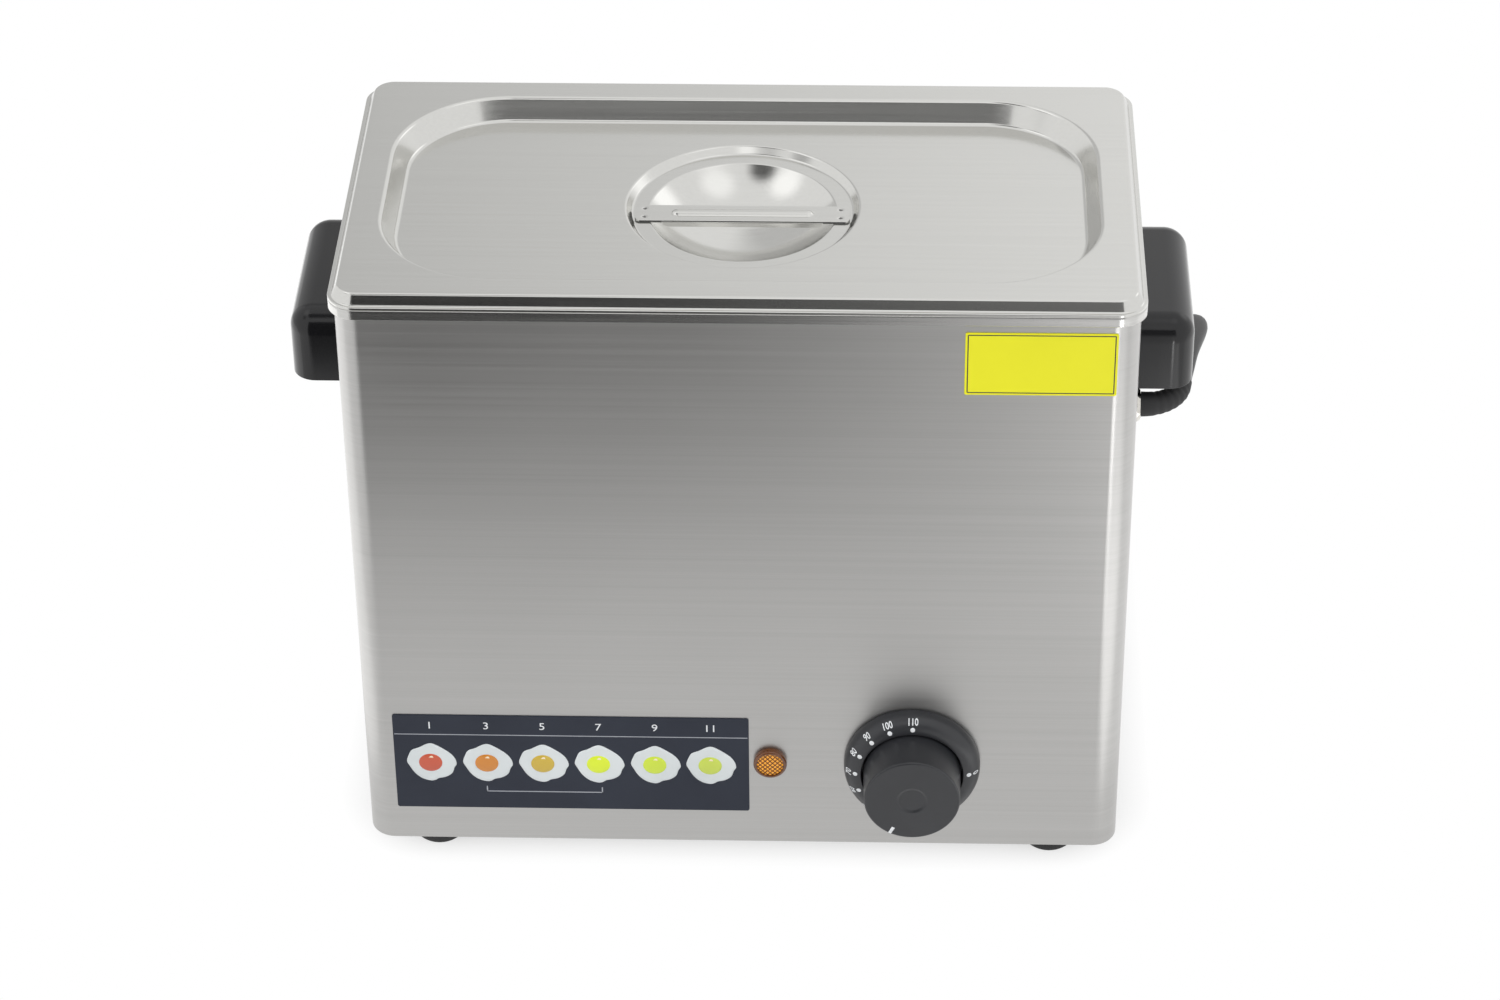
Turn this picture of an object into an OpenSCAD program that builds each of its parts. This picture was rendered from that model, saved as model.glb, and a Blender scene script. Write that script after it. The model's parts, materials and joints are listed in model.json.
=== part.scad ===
// Commercial egg boiler: a stainless tank in a brushed casing, with a lift-off lid,
// an egg basket, an immersion heating element and a capillary thermostat.
// Millimetres, +Z up, front face towards -Y. The origin lies on the surface that the
// feet stand on, midway between the knob's face and the back of the rim.

/* [Rim] */
// Width of the tank's rim and of the lid
rim_w = 325; // [315:1:365]
// Depth of the tank's rim and of the lid
rim_d = 176; // [170:1:206]
// Corner radius of the rim
rim_r = 12; // [8:0.5:20]
// Height of the rim's turned-down skirt
skirt_h = 4.7; // [3:0.1:8]
// Distance that the rim stands out over the casing
rim_over = 2.2; // [1.7:0.1:4]
// Width of the rim's flat land, outer edge to tank opening
rim_land = 12.5; // [12:0.5:15]

/* [Casing] */
// Height of the casing, bottom edge to top edge
casing_h = 270; // [250:1:320]
// Outer radius of the casing's upright corners
casing_r = 11; // [4:0.5:20]
// Thickness of the casing's sheet
sheet_t = 1; // [0.6:0.1:1.5]
// Width of the flange turned in along the bottom edge
flange_w = 7; // [6:0.5:8]

/* [Base and feet] */
// Gap between the casing's bottom edge and the table
stand_h = 11; // [8:0.5:16]
// Thickness of the base plate
base_t = 1.2; // [0.8:0.1:2]
// Diameter of a rubber foot at its top
foot_d = 24; // [18:0.5:27]
// Diameter of a rubber foot where it stands
foot_tip_d = 21; // [14:0.5:24]
// Distance from the casing's side to the middle of a foot
foot_in_x = 28.3; // [22:0.1:50]
// Distance from the casing's front or back to the middle of a foot
foot_in_y = 19.8; // [19.6:0.1:40]
// Number of ventilation slots on each side of the base plate's middle
vent_count = 9; // [4:1:12]
// Length of a ventilation slot
vent_l = 34; // [20:1:40]
// Width of a ventilation slot
vent_w = 4; // [3:0.5:6]

/* [Tank] */
// Inside corner radius of the tank
tank_r = 50; // [44:1:60]
// Height of the space for the electrics, casing's bottom edge to tank
works_h = 90; // [86:1:104]
// Inside radius between the tank's walls and floor
tank_floor_r = 12; // [6:1:16]

/* [Lid] */
// Thickness of the lid's sheet
lid_t = 1; // [0.6:0.1:1.2]
// Height of the lid's top above its lip
lid_rise = 4.4; // [3:0.1:6]
// Width of the flat lip around the lid
lip_w = 1.5; // [1:0.1:2.5]
// Sideways run of the slope between lip and top
slope_run = 2.5; // [1.5:0.1:4]
// Bend radius at the edge of the lid's top
top_bend_r = 1.4; // [0.6:0.1:2]
// Distance from the lid's edge to the sunken panel at the lid's top
recess_in = 16.5; // [15:0.5:22]
// Corner radius of the sunken panel
recess_r = 47; // [38:1:50]
// Sideways run of the sunken panel's wall
recess_run = 5.5; // [4:0.5:8]
// Depth of the sunken panel below the lid's top
recess_h = 9; // [6:0.5:11]
// Bend radius at the edges of the sunken panel's wall
recess_bend_r = 2; // [1:0.5:3]
// Diameter of the stepped ring around the finger bowl
ring_d = 96; // [88:1:110]
// Depth of the stepped ring below the sunken panel
ring_h = 3; // [1.5:0.5:4]
// Sideways run of the ring's step
ring_run = 2.5; // [1.5:0.5:4]
// Diameter of the finger bowl
bowl_d = 77; // [60:1:80]
// Depth of the finger bowl below the ring
bowl_h = 16; // [10:1:18]

/* [Lid strap] */
// Gap between the strap's ends and the foot of the ring's step
strap_end_gap = 1.5; // [0.5:0.5:3]
// Width of the strap handle
strap_w = 12.5; // [9:0.5:16]
// Thickness of the strap handle
strap_t = 1; // [0.8:0.1:1.5]
// Distance of the strap's middle line in front of the bowl's centre
strap_shift = 3; // [0:1:6]
// Length of the fold along the strap's front edge
strap_fold_l = 65; // [40:1:68]
// Height of the fold along the strap's front edge
strap_fold_h = 3; // [2:0.5:4]
// Length of the strap's pressed rib
strap_rib_l = 57; // [30:1:62]
// Width of the strap's pressed rib
strap_rib_w = 3.6; // [2:0.2:5]

/* [Carrying handles] */
// Length of a carrying handle, front to back
handle_l = 82; // [60:1:90]
// Height of a carrying handle
handle_h = 32; // [26:1:40]
// Distance that a carrying handle stands out from the casing
handle_out = 25; // [20:0.5:32]
// Rounding of a carrying handle's outer edges
handle_r = 10; // [4:0.5:11]
// Wall thickness of a carrying handle
handle_wall = 2.6; // [2:0.1:3.5]
// Distance from the casing's top edge down to the handle's top
handle_drop = 32; // [12:1:60]
// Diameter of the screw bosses in a carrying handle
boss_d = 9; // [8:0.5:10]
// Length of the screw bosses in a carrying handle
boss_l = 15; // [10:0.5:17]
// Distance between the two screws of a carrying handle
handle_screw_gap = 50; // [36:1:54]
// Diameter of the M4 screws
m4_d = 4; // [3.8:0.1:4.2]

/* [Dial and knob] */
// Distance from the pilot lamp's middle to the dial's middle
dial_gap = 60; // [46:1:62]
// Height of the dial and the lamp above the casing's bottom edge
dial_up = 44.5; // [36:0.5:52]
// Outer diameter of the dial's fixed ring
dial_d = 57.6; // [52:0.2:64]
// Height of the dial's fixed ring
dial_h = 8.4; // [6:0.2:10]
// Rounding of the dial ring's front
dial_bend_r = 7; // [4:0.2:7]
// Gap between the knob and the dial's fixed ring
knob_gap = 0.8; // [0.5:0.1:1.5]
// Diameter of the knob at its foot
knob_d = 41.2; // [36:0.2:44]
// Diameter of the knob's face
knob_face_d = 40.3; // [34:0.1:44]
// Distance from the casing to the knob's face
knob_front = 25.5; // [20:0.5:32]
// Wall thickness of the knob
knob_wall = 2.2; // [1.5:0.1:3]
// Clockwise angle of the knob's pointer from the top, as stored
pointer_angle = 208; // [90:1:360]
// Diameter of the thermostat's spindle
spindle_d = 6; // [5:0.5:7]
// Distance between the two screws that hold the thermostat
thermostat_screw_gap = 28; // [26:0.5:30]
// Width and height of the thermostat
thermostat_size = 36; // [34:1:44]
// Depth of the thermostat behind the casing
thermostat_l = 30; // [20:1:38]

/* [Pilot lamp] */
// Distance from the time chart to the pilot lamp's middle
lamp_gap = 9; // [8.8:0.1:20]
// Diameter of the pilot lamp's lens
lamp_d = 14.2; // [12:0.2:18]
// Distance that the lens stands out from the casing
lamp_out = 3; // [1.5:0.5:5]
// Diameter of the pilot lamp's barrel
lamp_barrel_d = 11; // [8:0.5:11]
// Length of the pilot lamp's barrel
lamp_l = 24; // [16:1:32]

/* [Plates] */
// Width of the time chart
chart_w = 150.6; // [120:0.2:154]
// Height of the time chart
chart_h = 49.7; // [40:0.1:52]
// Distance from the casing's left edge to the time chart
chart_in = 13; // [11:0.5:20]
// Distance from the casing's bottom edge to the time chart
chart_up = 17.7; // [10:0.1:24]
// Thickness of the time chart
chart_t = 0.5; // [0.3:0.1:1]
// Width of the blank write-on plate
tag_w = 60.4; // [40:0.2:80]
// Height of the blank write-on plate
tag_h = 29.2; // [20:0.2:40]
// Distance from the casing's right edge to the write-on plate
tag_in = 9.4; // [9:0.1:20]
// Distance from the casing's top edge down to the write-on plate
tag_drop = 19; // [8:0.5:30]
// Thickness of the write-on plate
tag_t = 0.3; // [0.2:0.1:0.8]

/* [Basket] */
// Gap between the egg basket and the tank's walls
basket_gap = 11; // [9:0.5:16]
// Outside corner radius of the egg basket
basket_r = 42; // [38:1:46]
// Distance from the rim down to the top of the egg basket's wall
basket_drop = 34; // [31:1:60]
// Thickness of the egg basket's sheet
basket_t = 1; // [0.8:0.1:1.5]
// Distance from the egg basket's ends to its legs
basket_leg_in = 12.5; // [11:0.5:16]
// Height of the egg basket's legs
basket_leg_h = 38; // [36:1:40]
// Diameter of the egg basket's legs and rim wire
basket_wire_d = 5; // [4:0.5:6]
// Diameter of a hole in the egg basket
basket_hole_d = 9; // [6:0.5:10]
// Distance between the holes in the egg basket
basket_pitch = 16; // [14:0.5:20]
// Height of the egg basket's grips above its rim
grip_h = 17; // [12:0.5:18]
// Width of the egg basket's grips
grip_w = 62; // [50:1:70]

/* [Heating element] */
// Diameter of the heating element's tube
element_d = 8; // [6:0.5:9]
// Distance between the element's two runs
element_gap = 60; // [40:2:70]
// Height of the element's middle above the tank floor
element_up = 22; // [20:1:26]
// Bend radius of the element's rising legs
element_bend_r = 12; // [10:1:16]
// Distance from the tank's left end to the element's legs
element_leg_in = 40; // [36:1:60]
// Distance from the tank's right end to the start of the element's far bend
element_far_in = 55; // [50:1:90]
// Length of the element's legs below the tank floor
element_tail = 26; // [20:1:28]
// Diameter of the thread on the element's bushes
bush_d = 14; // [12:0.5:16]

/* [Temperature sensor] */
// Diameter of the sensor bulb
bulb_d = 6.5; // [5:0.5:8]
// Length of the sensor bulb
bulb_l = 80; // [60:1:90]
// Distance from the tank's front wall to the sensor bulb's middle
bulb_in = 25.5; // [23.5:0.5:29.5]
// Height of the sensor bulb's middle above the tank floor
bulb_up = 11; // [9:0.5:14]
// Diameter of the capillary tube
capillary_d = 2; // [1.5:0.1:2.5]
// Distance from the tank's right end to the capillary's gland
capillary_in = 78; // [74:1:84]

/* [Mains lead] */
// Diameter of the mains lead
cord_d = 7.2; // [6:0.1:8]
// Distance of the lead's exit in front of the middle
exit_y = 37; // [28:1:40]
// Gap between the carrying handle and the metal gland
exit_gap = 2.5; // [0.3:0.1:12]
// Outer diameter of the metal gland
gland_d = 15; // [12:0.5:18]
// Distance that the metal gland stands out from the casing
gland_out = 4; // [3:0.5:8]
// Diameter of the strain relief at the gland
boot_d = 10.4; // [9:0.1:12]
// Bend radius of the strain relief
boot_bend_r = 16; // [14:1:20]
// Angle that the strain relief turns through
boot_turn = 78; // [60:1:84]
// Number of coil loops in the lower layer
coil_loops = 2; // [2:1:4]
// Gap between neighbouring turns of the coil
coil_gap = 0.9; // [0.8:0.1:2]
// Mean radius of the coil's innermost loop
coil_r = 32; // [30:1:44]

/* [Hidden] */

$fn = 64;
eps = 0.01;
touch = 0.1;            // overlap that joins two forms of one solid
running_gap = 0.05;     // radial clearance of a spindle or tube in its hole
hole_gap = 0.25;        // radial clearance of a screw in a plain hole
end_gap = 0.2;          // clearance of a wire's or tube's end from what it meets
m3_d = 3;
m4_nut_w = 7;           // across flats
m4_nut_h = 3.2;

// heights above the table
casing_z = stand_h;
casing_top = casing_z + casing_h;
flange_top = casing_z + sheet_t;
base_top = flange_top + base_t;
rim_z = casing_top + sheet_t;            // top of the tank's rim, under the lid's lip
tank_under = casing_z + works_h;         // underside of the tank's floor
tank_floor = tank_under + sheet_t;
lip_z = rim_z + lid_t;                   // top of the lid's lip
lid_top = lip_z + lid_rise;
recess_z = lid_top - recess_h;
ring_z = recess_z - ring_h;
dial_z = casing_z + dial_up;

// casing, tank and basket inside one another
casing_w = rim_w - 2 * rim_over;
casing_d = rim_d - 2 * rim_over;
tank_w = rim_w - 2 * rim_land;
tank_d = rim_d - 2 * rim_land;
basket_w = tank_w - 2 * basket_gap;
basket_d = tank_d - 2 * basket_gap;
foot_x = casing_w / 2 - foot_in_x;
foot_y = casing_d / 2 - foot_in_y;

// places from the casing's middle
front_y = -casing_d / 2;
side_x = casing_w / 2;
inner_front = front_y + sheet_t;
inner_side = side_x - sheet_t;
lamp_x = -side_x + chart_in + chart_w + lamp_gap;
dial_x = lamp_x + dial_gap;

// the origin lies midway between the knob's face and the back of the rim
origin_shift = (knob_front - front_y - rim_d / 2) / 2;

// lid
recess_w = rim_w - 2 * recess_in;
recess_d = rim_d - 2 * recess_in;
strap_l = ring_d - 2 * (ring_run + strap_end_gap);
bowl_sphere_r = (pow(bowl_d / 2, 2) + pow(bowl_h, 2)) / (2 * bowl_h);

// base plate
base_screw_in = sheet_t + 3;      // from the casing's outside to a base screw
base_screw_x = casing_w / 2 - 60;
vent_gap = 8;                     // half the width of the bar between the two rows of slots
earth_x = -casing_w / 2 + 70;
earth_y = -35;

// carrying handles
handle_top = casing_top - handle_drop;
handle_z = handle_top - handle_h;
handle_screw_z = handle_top - handle_h / 2;
screw_head_d = 7.5;
screw_head_h = 2.4;

// knob and dial
knob_back = 4.2;
dial_floor = 1.6;
pointer_w = 1.4;
pointer_l = 3.2;
hub_d = spindle_d + 5;
spindle_tip = knob_front - 5;
spindle_flat = 0.22 * spindle_d;
thermostat_boss_d = 9.6;

// basket
basket_z = tank_floor + basket_leg_h;
basket_top = rim_z - basket_drop;
basket_wire_r = basket_wire_d / 2;
basket_wall_z = basket_z + basket_t;
basket_wall_h = basket_top - basket_wire_r - basket_wall_z;
basket_run_x = basket_w - 2 * basket_r;
basket_run_y = basket_d - 2 * basket_r;
basket_leg_x = basket_w / 2 - basket_leg_in;
basket_leg_y = basket_d / 2 - 20;

// heating element
element_z = tank_floor + element_up;
element_leg_x = element_leg_in - tank_w / 2;
element_far_x = tank_w / 2 - element_far_in;
gasket_t = 1.5;
bush_head_h = 6;
bush_under = 12;
nut_h = 5;

// sensor
bulb_y = tank_d / 2 - bulb_in;
bulb_z = tank_floor + bulb_up;
capillary_x = tank_w / 2 - capillary_in;
gland_thread_d = 8;

// mains lead: gland, curved strain relief, then the lead
exit_z = handle_z - exit_gap - gland_d / 2;
exit_x = side_x + gland_out;
boot_straight = 1.5;
boot_end_straight = 4;
boot_turn_x = exit_x + boot_straight;
boot_end = [boot_turn_x + boot_bend_r * sin(boot_turn) + boot_end_straight * cos(boot_turn),
  -exit_y + boot_bend_r * (1 - cos(boot_turn)) + boot_end_straight * sin(boot_turn), exit_z];
coil_pitch = cord_d + coil_gap;
coil_rings = 24;
coil_z = cord_d / 2 + 0.2;
coil_top_z = coil_z + coil_pitch;
coil_x = 40;
coil_y = 176;
coil_outer_r = coil_r + coil_pitch * coil_loops;
plug_l = 42;
plug_d = 36;
plug_z = plug_d / 2;

// ---------------------------------------------------------------- helpers

// points along an arc, from angle a to angle b
function arc(cx, cy, r, a, b, steps = 6) =
  [for (i = [0:steps]) [cx + r * cos(a + (b - a) * i / steps), cy + r * sin(a + (b - a) * i / steps)]];

// a rectangle with round corners, centred
module round_rect(w, d, r) {
  square([w, d - 2 * r], center = true);
  square([w - 2 * r, d], center = true);
  for (x = [-1, 1])
    for (y = [-1, 1])
      translate([x * (w / 2 - r), y * (d / 2 - r)]) circle(r);
}

// a flat ring between two rounded rectangles
module rect_ring(w, d, r, wi, di, ri) {
  difference() {
    round_rect(w, d, r);
    round_rect(wi, di, ri);
  }
}

// a profile carried around a rounded rectangle, with x = 0 on its outline and x < 0 inwards
module around_rect(w, d, r) {
  for (k = [0:3]) {
    a = (k % 2 == 0 ? w : d) / 2;
    b = (k % 2 == 0 ? d : w) / 2;
    rotate([0, 0, 90 * k]) {
      translate([a, b - r, 0]) rotate([90, 0, 0]) linear_extrude(2 * (b - r)) children();
      translate([a - r, b - r, 0]) rotate_extrude(angle = 90) translate([r, 0]) children();
    }
  }
}

// a piece of the object, moved from the casing's middle to the origin's place
module placed() {
  translate([0, origin_shift, 0]) children();
}

// a rod along an axis through the front wall, from depth a to depth b measured outwards
module front_rod(x, z, d, a, b) {
  translate([x, front_y - a, z]) rotate([90, 0, 0]) cylinder(d = d, h = b - a);
}

module hex(d, h) {
  cylinder(d = d / cos(30), h = h, $fn = 6);
}

// direction, side and up vectors that carry a ring along a route without twisting it
function unit(v) = v / norm(v);
function heading(p, i) = unit(p[min(i + 1, len(p) - 1)] - p[max(i - 1, 0)]);
function side_of(t) = unit(abs(t[2]) > 0.94 ? cross([0, 1, 0], t) : cross([0, 0, 1], t));
function next_side(s, t) = unit(s - (s * t) * t);
function sides_along(p, i = 0, s = undef) =
  i == len(p) ? [] :
  let (t = heading(p, i), n = s == undef ? side_of(t) : next_side(s, t))
  concat([n], sides_along(p, i + 1, n));

// a tube of one or more radii swept along points
module tube(points, radii, ring = 8) {
  n = len(points);
  sides = sides_along(points);
  rings = [for (i = [0:n - 1]) let (t = heading(points, i), s = sides[i], u = cross(t, s),
      r = is_list(radii) ? radii[i] : radii)
    for (k = [0:ring - 1]) points[i] + r * (cos(360 * k / ring) * s + sin(360 * k / ring) * u)];
  skin = [for (i = [0:n - 2]) for (k = [0:ring - 1]) let (a = i * ring + k,
      b = i * ring + (k + 1) % ring) each [[a, b, b + ring], [a, b + ring, a + ring]]];
  caps = [for (k = [1:ring - 2]) each [[0, k + 1, k],
      [(n - 1) * ring, (n - 1) * ring + k, (n - 1) * ring + k + 1]]];
  polyhedron(points = rings, faces = [for (f = concat(skin, caps)) [f[0], f[2], f[1]]]);
}

// one point of a smooth curve through four route points, and the whole curve
function between(a, b, c, d, t) =
  0.5 * (2 * b + (c - a) * t + (2 * a - 5 * b + 4 * c - d) * t * t + (3 * b - a - 3 * c + d) * t * t * t);
function smooth(p, steps) = let (n = len(p)) concat(
  [for (i = [0:n - 2]) for (k = [0:steps - 1]) between(i == 0 ? 2 * p[0] - p[1] : p[i - 1], p[i],
      p[i + 1], i == n - 2 ? 2 * p[n - 1] - p[n - 2] : p[i + 2], k / steps)], [p[n - 1]]);

// ---------------------------------------------------------------- casing and base

module casing() {
  hole_x = handle_screw_gap / 2;
  color("#A8A8A6") placed() difference() {
    union() {
      translate([0, 0, casing_z]) linear_extrude(casing_h)
        rect_ring(casing_w, casing_d, casing_r, casing_w - 2 * sheet_t, casing_d - 2 * sheet_t,
          casing_r - sheet_t);
      translate([0, 0, casing_z]) linear_extrude(sheet_t)
        rect_ring(casing_w - sheet_t, casing_d - sheet_t, casing_r - sheet_t / 2,
          casing_w - 2 * flange_w, casing_d - 2 * flange_w, casing_r - sheet_t);
    }
    front_rod(dial_x, dial_z, thermostat_boss_d + 2 * hole_gap, -sheet_t - 1, 1);
    for (s = [-1, 1])
      front_rod(dial_x + s * thermostat_screw_gap / 2, dial_z, m4_d + 2 * hole_gap, -sheet_t - 1, 1);
    front_rod(lamp_x, dial_z, lamp_barrel_d + 2 * hole_gap, -sheet_t - 1, 1);
    for (s = [-1, 1])
      for (y = [-hole_x, hole_x])
        translate([s * side_x, y, handle_screw_z]) rotate([0, 90, 0])
          cylinder(d = m4_d + 2 * hole_gap, h = 3 * sheet_t, center = true);
    translate([side_x, -exit_y, exit_z]) rotate([0, 90, 0])
      cylinder(d = gland_d - 4 + 2 * hole_gap, h = 3 * sheet_t, center = true);
    base_screw_places() cylinder(d = m3_d + 2 * hole_gap, h = 3 * sheet_t, center = true);
  }
}

// the places of the eight base screws, at the casing's bottom edge
module base_screw_places() {
  for (s = [-1, 1]) {
    for (x = [-1, 0, 1])
      translate([x * base_screw_x, s * (casing_d / 2 - base_screw_in), casing_z]) children();
    translate([s * (casing_w / 2 - base_screw_in), 0, casing_z]) children();
  }
}

module foot_places() {
  for (x = [-1, 1])
    for (y = [-1, 1]) translate([x * foot_x, y * foot_y, 0]) children();
}

module base_plate() {
  gap = 0.3;
  vent_pitch = 2 * vent_w + 2;
  color("#B8B8B4") placed() difference() {
    translate([0, 0, flange_top]) linear_extrude(base_t) difference() {
      round_rect(casing_w - 2 * sheet_t - 2 * gap, casing_d - 2 * sheet_t - 2 * gap, casing_r - sheet_t);
      for (s = [-1, 1])
        for (i = [0:vent_count - 1])
          translate([(i - (vent_count - 1) / 2) * vent_pitch, s * (vent_l / 2 + vent_gap)])
            square([vent_w, vent_l], center = true);
      for (x = [-1, 1])
        for (y = [-1, 1]) translate([x * foot_x, y * foot_y]) circle(d = m4_d + 2 * hole_gap);
      translate([earth_x, earth_y]) circle(d = m4_d + 2 * hole_gap);
    }
    base_screw_places() cylinder(d = m3_d + 2 * hole_gap, h = 20);
  }
}

module base_screws() {
  head_h = 1.8;
  color("silver") placed() base_screw_places() {
    translate([0, 0, -head_h]) cylinder(d = 5.5, h = head_h);
    translate([0, 0, -touch]) cylinder(d = m3_d, h = sheet_t + base_t + 3);
  }
}

module foot(x, y) {
  head_room = 3.5;
  color("#1C1C1E") placed() translate([x * foot_x, y * foot_y, 0]) difference() {
    rotate_extrude() polygon([[0, 0], [foot_tip_d / 2 - 1, 0], [foot_tip_d / 2, 1],
        [foot_d / 2, flange_top - 2], [foot_d / 2, flange_top], [0, flange_top]]);
    translate([0, 0, -1]) cylinder(d = screw_head_d + 1, h = head_room + 2);
    translate([0, 0, -1]) cylinder(d = m4_d + 2 * hole_gap, h = flange_top + 2);
  }
}
module foot_front_left() foot(-1, -1);
module foot_front_right() foot(1, -1);
module foot_back_left() foot(-1, 1);
module foot_back_right() foot(1, 1);

module foot_screws() {
  head_top = 4.5;
  color("silver") placed() foot_places() {
    translate([0, 0, head_top - screw_head_h]) cylinder(d = screw_head_d, h = screw_head_h);
    translate([0, 0, head_top - touch]) cylinder(d = m4_d, h = base_top + 5 - head_top);
  }
}

module foot_nuts() {
  color("silver") placed() foot_places() translate([0, 0, base_top]) difference() {
    hex(m4_nut_w, m4_nut_h);
    translate([0, 0, -1]) cylinder(d = m4_d + 2 * running_gap, h = m4_nut_h + 2);
  }
}

// ---------------------------------------------------------------- tank

// the places of the element's two legs through the tank floor
module element_leg_places() {
  for (s = [-1, 1]) translate([element_leg_x, s * element_gap / 2, 0]) children();
}

module tank() {
  r = tank_floor_r;
  bend = concat([[0, r + touch], [sheet_t, r + touch]], arc(-r, r, r + sheet_t, 0, -90, 8),
      [[-r - touch, -sheet_t], [-r - touch, 0]], arc(-r, r, r, -90, 0, 8));
  color("#C8C8C6") placed() difference() {
    union() {
      // rim: a flat flange and its turned-down skirt
      translate([0, 0, casing_top]) linear_extrude(sheet_t)
        rect_ring(rim_w, rim_d, rim_r, tank_w, tank_d, tank_r);
      translate([0, 0, rim_z - skirt_h]) linear_extrude(skirt_h)
        rect_ring(rim_w, rim_d, rim_r, rim_w - 2 * sheet_t, rim_d - 2 * sheet_t, rim_r - sheet_t);
      // walls
      translate([0, 0, tank_floor + r]) linear_extrude(rim_z - tank_floor - r)
        rect_ring(tank_w + 2 * sheet_t, tank_d + 2 * sheet_t, tank_r + sheet_t, tank_w, tank_d, tank_r);
      // round bend into the floor, then the floor
      translate([0, 0, tank_floor]) around_rect(tank_w, tank_d, tank_r) polygon(bend);
      translate([0, 0, tank_under]) linear_extrude(sheet_t)
        round_rect(tank_w - 2 * r, tank_d - 2 * r, tank_r - r);
    }
    element_leg_places() translate([0, 0, tank_under - 1])
      cylinder(d = bush_d + 2 * hole_gap, h = sheet_t + 2);
    translate([capillary_x, -bulb_y, tank_under - 1])
      cylinder(d = gland_thread_d + 2 * hole_gap, h = sheet_t + 2);
  }
}

// ---------------------------------------------------------------- lid

module lid() {
  // rim: lip, slope and the bend into the flat top
  slope = atan2(lid_rise, slope_run);
  wall_x = lid_t / sin(slope) - slope_run * lid_t / lid_rise;
  top_x = -lip_w - slope_run;
  rim = concat([[0, 0], [0, lid_t], [-lip_w, lid_t]],
      arc(top_x - top_bend_r * tan(slope / 2), lid_t + lid_rise - top_bend_r, top_bend_r, 90 - slope, 90, 4),
      [[top_x - 6, lid_t + lid_rise], [top_x - 6, lid_rise],
        [top_x - wall_x, lid_rise], [-lip_w - wall_x, 0]]);
  // wall of the sunken panel, from the flat top down to the panel's floor
  fall = atan2(recess_h, recess_run);
  half = recess_bend_r * tan(fall / 2);
  wall = concat([[4, 0]], arc(half, -recess_bend_r, recess_bend_r, 90, 90 + fall, 5),
      arc(-recess_run - half, -recess_h + recess_bend_r, recess_bend_r, fall - 90, -90, 5),
      [[-recess_run - half - 2, -recess_h], [-recess_run - half - 2, -recess_h - lid_t]],
      arc(-recess_run - half, -recess_h + recess_bend_r, recess_bend_r + lid_t, -90, fall - 90, 5),
      arc(half, -recess_bend_r, recess_bend_r - lid_t + eps, 90 + fall, 90, 5), [[4, -lid_t]]);
  // step of the ring, then the spherical bowl, as one turned sheet
  r1 = ring_d / 2;
  r2 = bowl_d / 2;
  cap = asin(r2 / bowl_sphere_r);
  color("#CFCFCC") placed() {
    translate([0, 0, rim_z]) around_rect(rim_w, rim_d, rim_r) polygon(rim);
    translate([0, 0, lid_top - lid_t]) linear_extrude(lid_t)
      rect_ring(rim_w + 2 * top_x - 6, rim_d + 2 * top_x - 6, rim_r + top_x - 3,
        recess_w + 6, recess_d + 6, recess_r + 3);
    translate([0, 0, lid_top]) around_rect(recess_w, recess_d, recess_r) polygon(wall);
    translate([0, 0, recess_z - lid_t]) linear_extrude(lid_t) difference() {
      round_rect(recess_w - 2 * recess_run - 2 * half - 2, recess_d - 2 * recess_run - 2 * half - 2,
        recess_r - recess_run - half - 1);
      circle(r1);
    }
    translate([0, 0, ring_z]) rotate_extrude() polygon(concat(
      [[r1 + 1, ring_h], [r1, ring_h], [r1 - ring_run, 0], [r2, 0]],
      arc(0, bowl_sphere_r - bowl_h, bowl_sphere_r, cap - 90, -90, 16),
      arc(0, bowl_sphere_r - bowl_h, bowl_sphere_r + lid_t, -90, cap - 90, 16),
      [[r1 - ring_run + 0.4, -lid_t], [r1 + 0.4, ring_h - lid_t], [r1 + 1, ring_h - lid_t]]));
  }
}

module lid_strap() {
  rib_r = strap_rib_w / 2;
  color("#C4C4C0") placed() translate([0, -strap_shift, ring_z]) {
    translate([-strap_l / 2, -strap_w / 2, 0]) cube([strap_l, strap_w, strap_t]);
    translate([-strap_fold_l / 2, -strap_w / 2, strap_t - strap_fold_h])
      cube([strap_fold_l, strap_t, strap_fold_h]);
    intersection() {
      translate([0, 0, strap_t - rib_r * 0.35]) {
        rotate([0, 90, 0]) cylinder(r = rib_r, h = strap_rib_l - strap_rib_w, center = true);
        for (s = [-1, 1]) translate([s * (strap_rib_l - strap_rib_w) / 2, 0, 0]) sphere(rib_r);
      }
      translate([-strap_l / 2, -strap_w / 2, strap_t / 2]) cube([strap_l, strap_w, 5]);
    }
  }
}

// ---------------------------------------------------------------- carrying handles

// the outer form of a handle, shrunk by a wall, standing out along +X from x = 0
module handle_form(wall, low) {
  r = handle_r - wall;
  y = handle_l / 2 - handle_r;
  x = handle_out - handle_r;
  z = handle_top - handle_r;
  hull() {
    for (s = [-1, 1]) {
      translate([x, s * y, z]) sphere(r, $fn = 32);
      translate([x, s * y, low]) cylinder(r = r, h = z - low, $fn = 32);
      translate([0, s * y, z]) rotate([0, 90, 0]) cylinder(r = r, h = 1, $fn = 32);
    }
    translate([0, -handle_l / 2 + wall, low]) cube([1, handle_l - 2 * wall, z - low]);
  }
}

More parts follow.
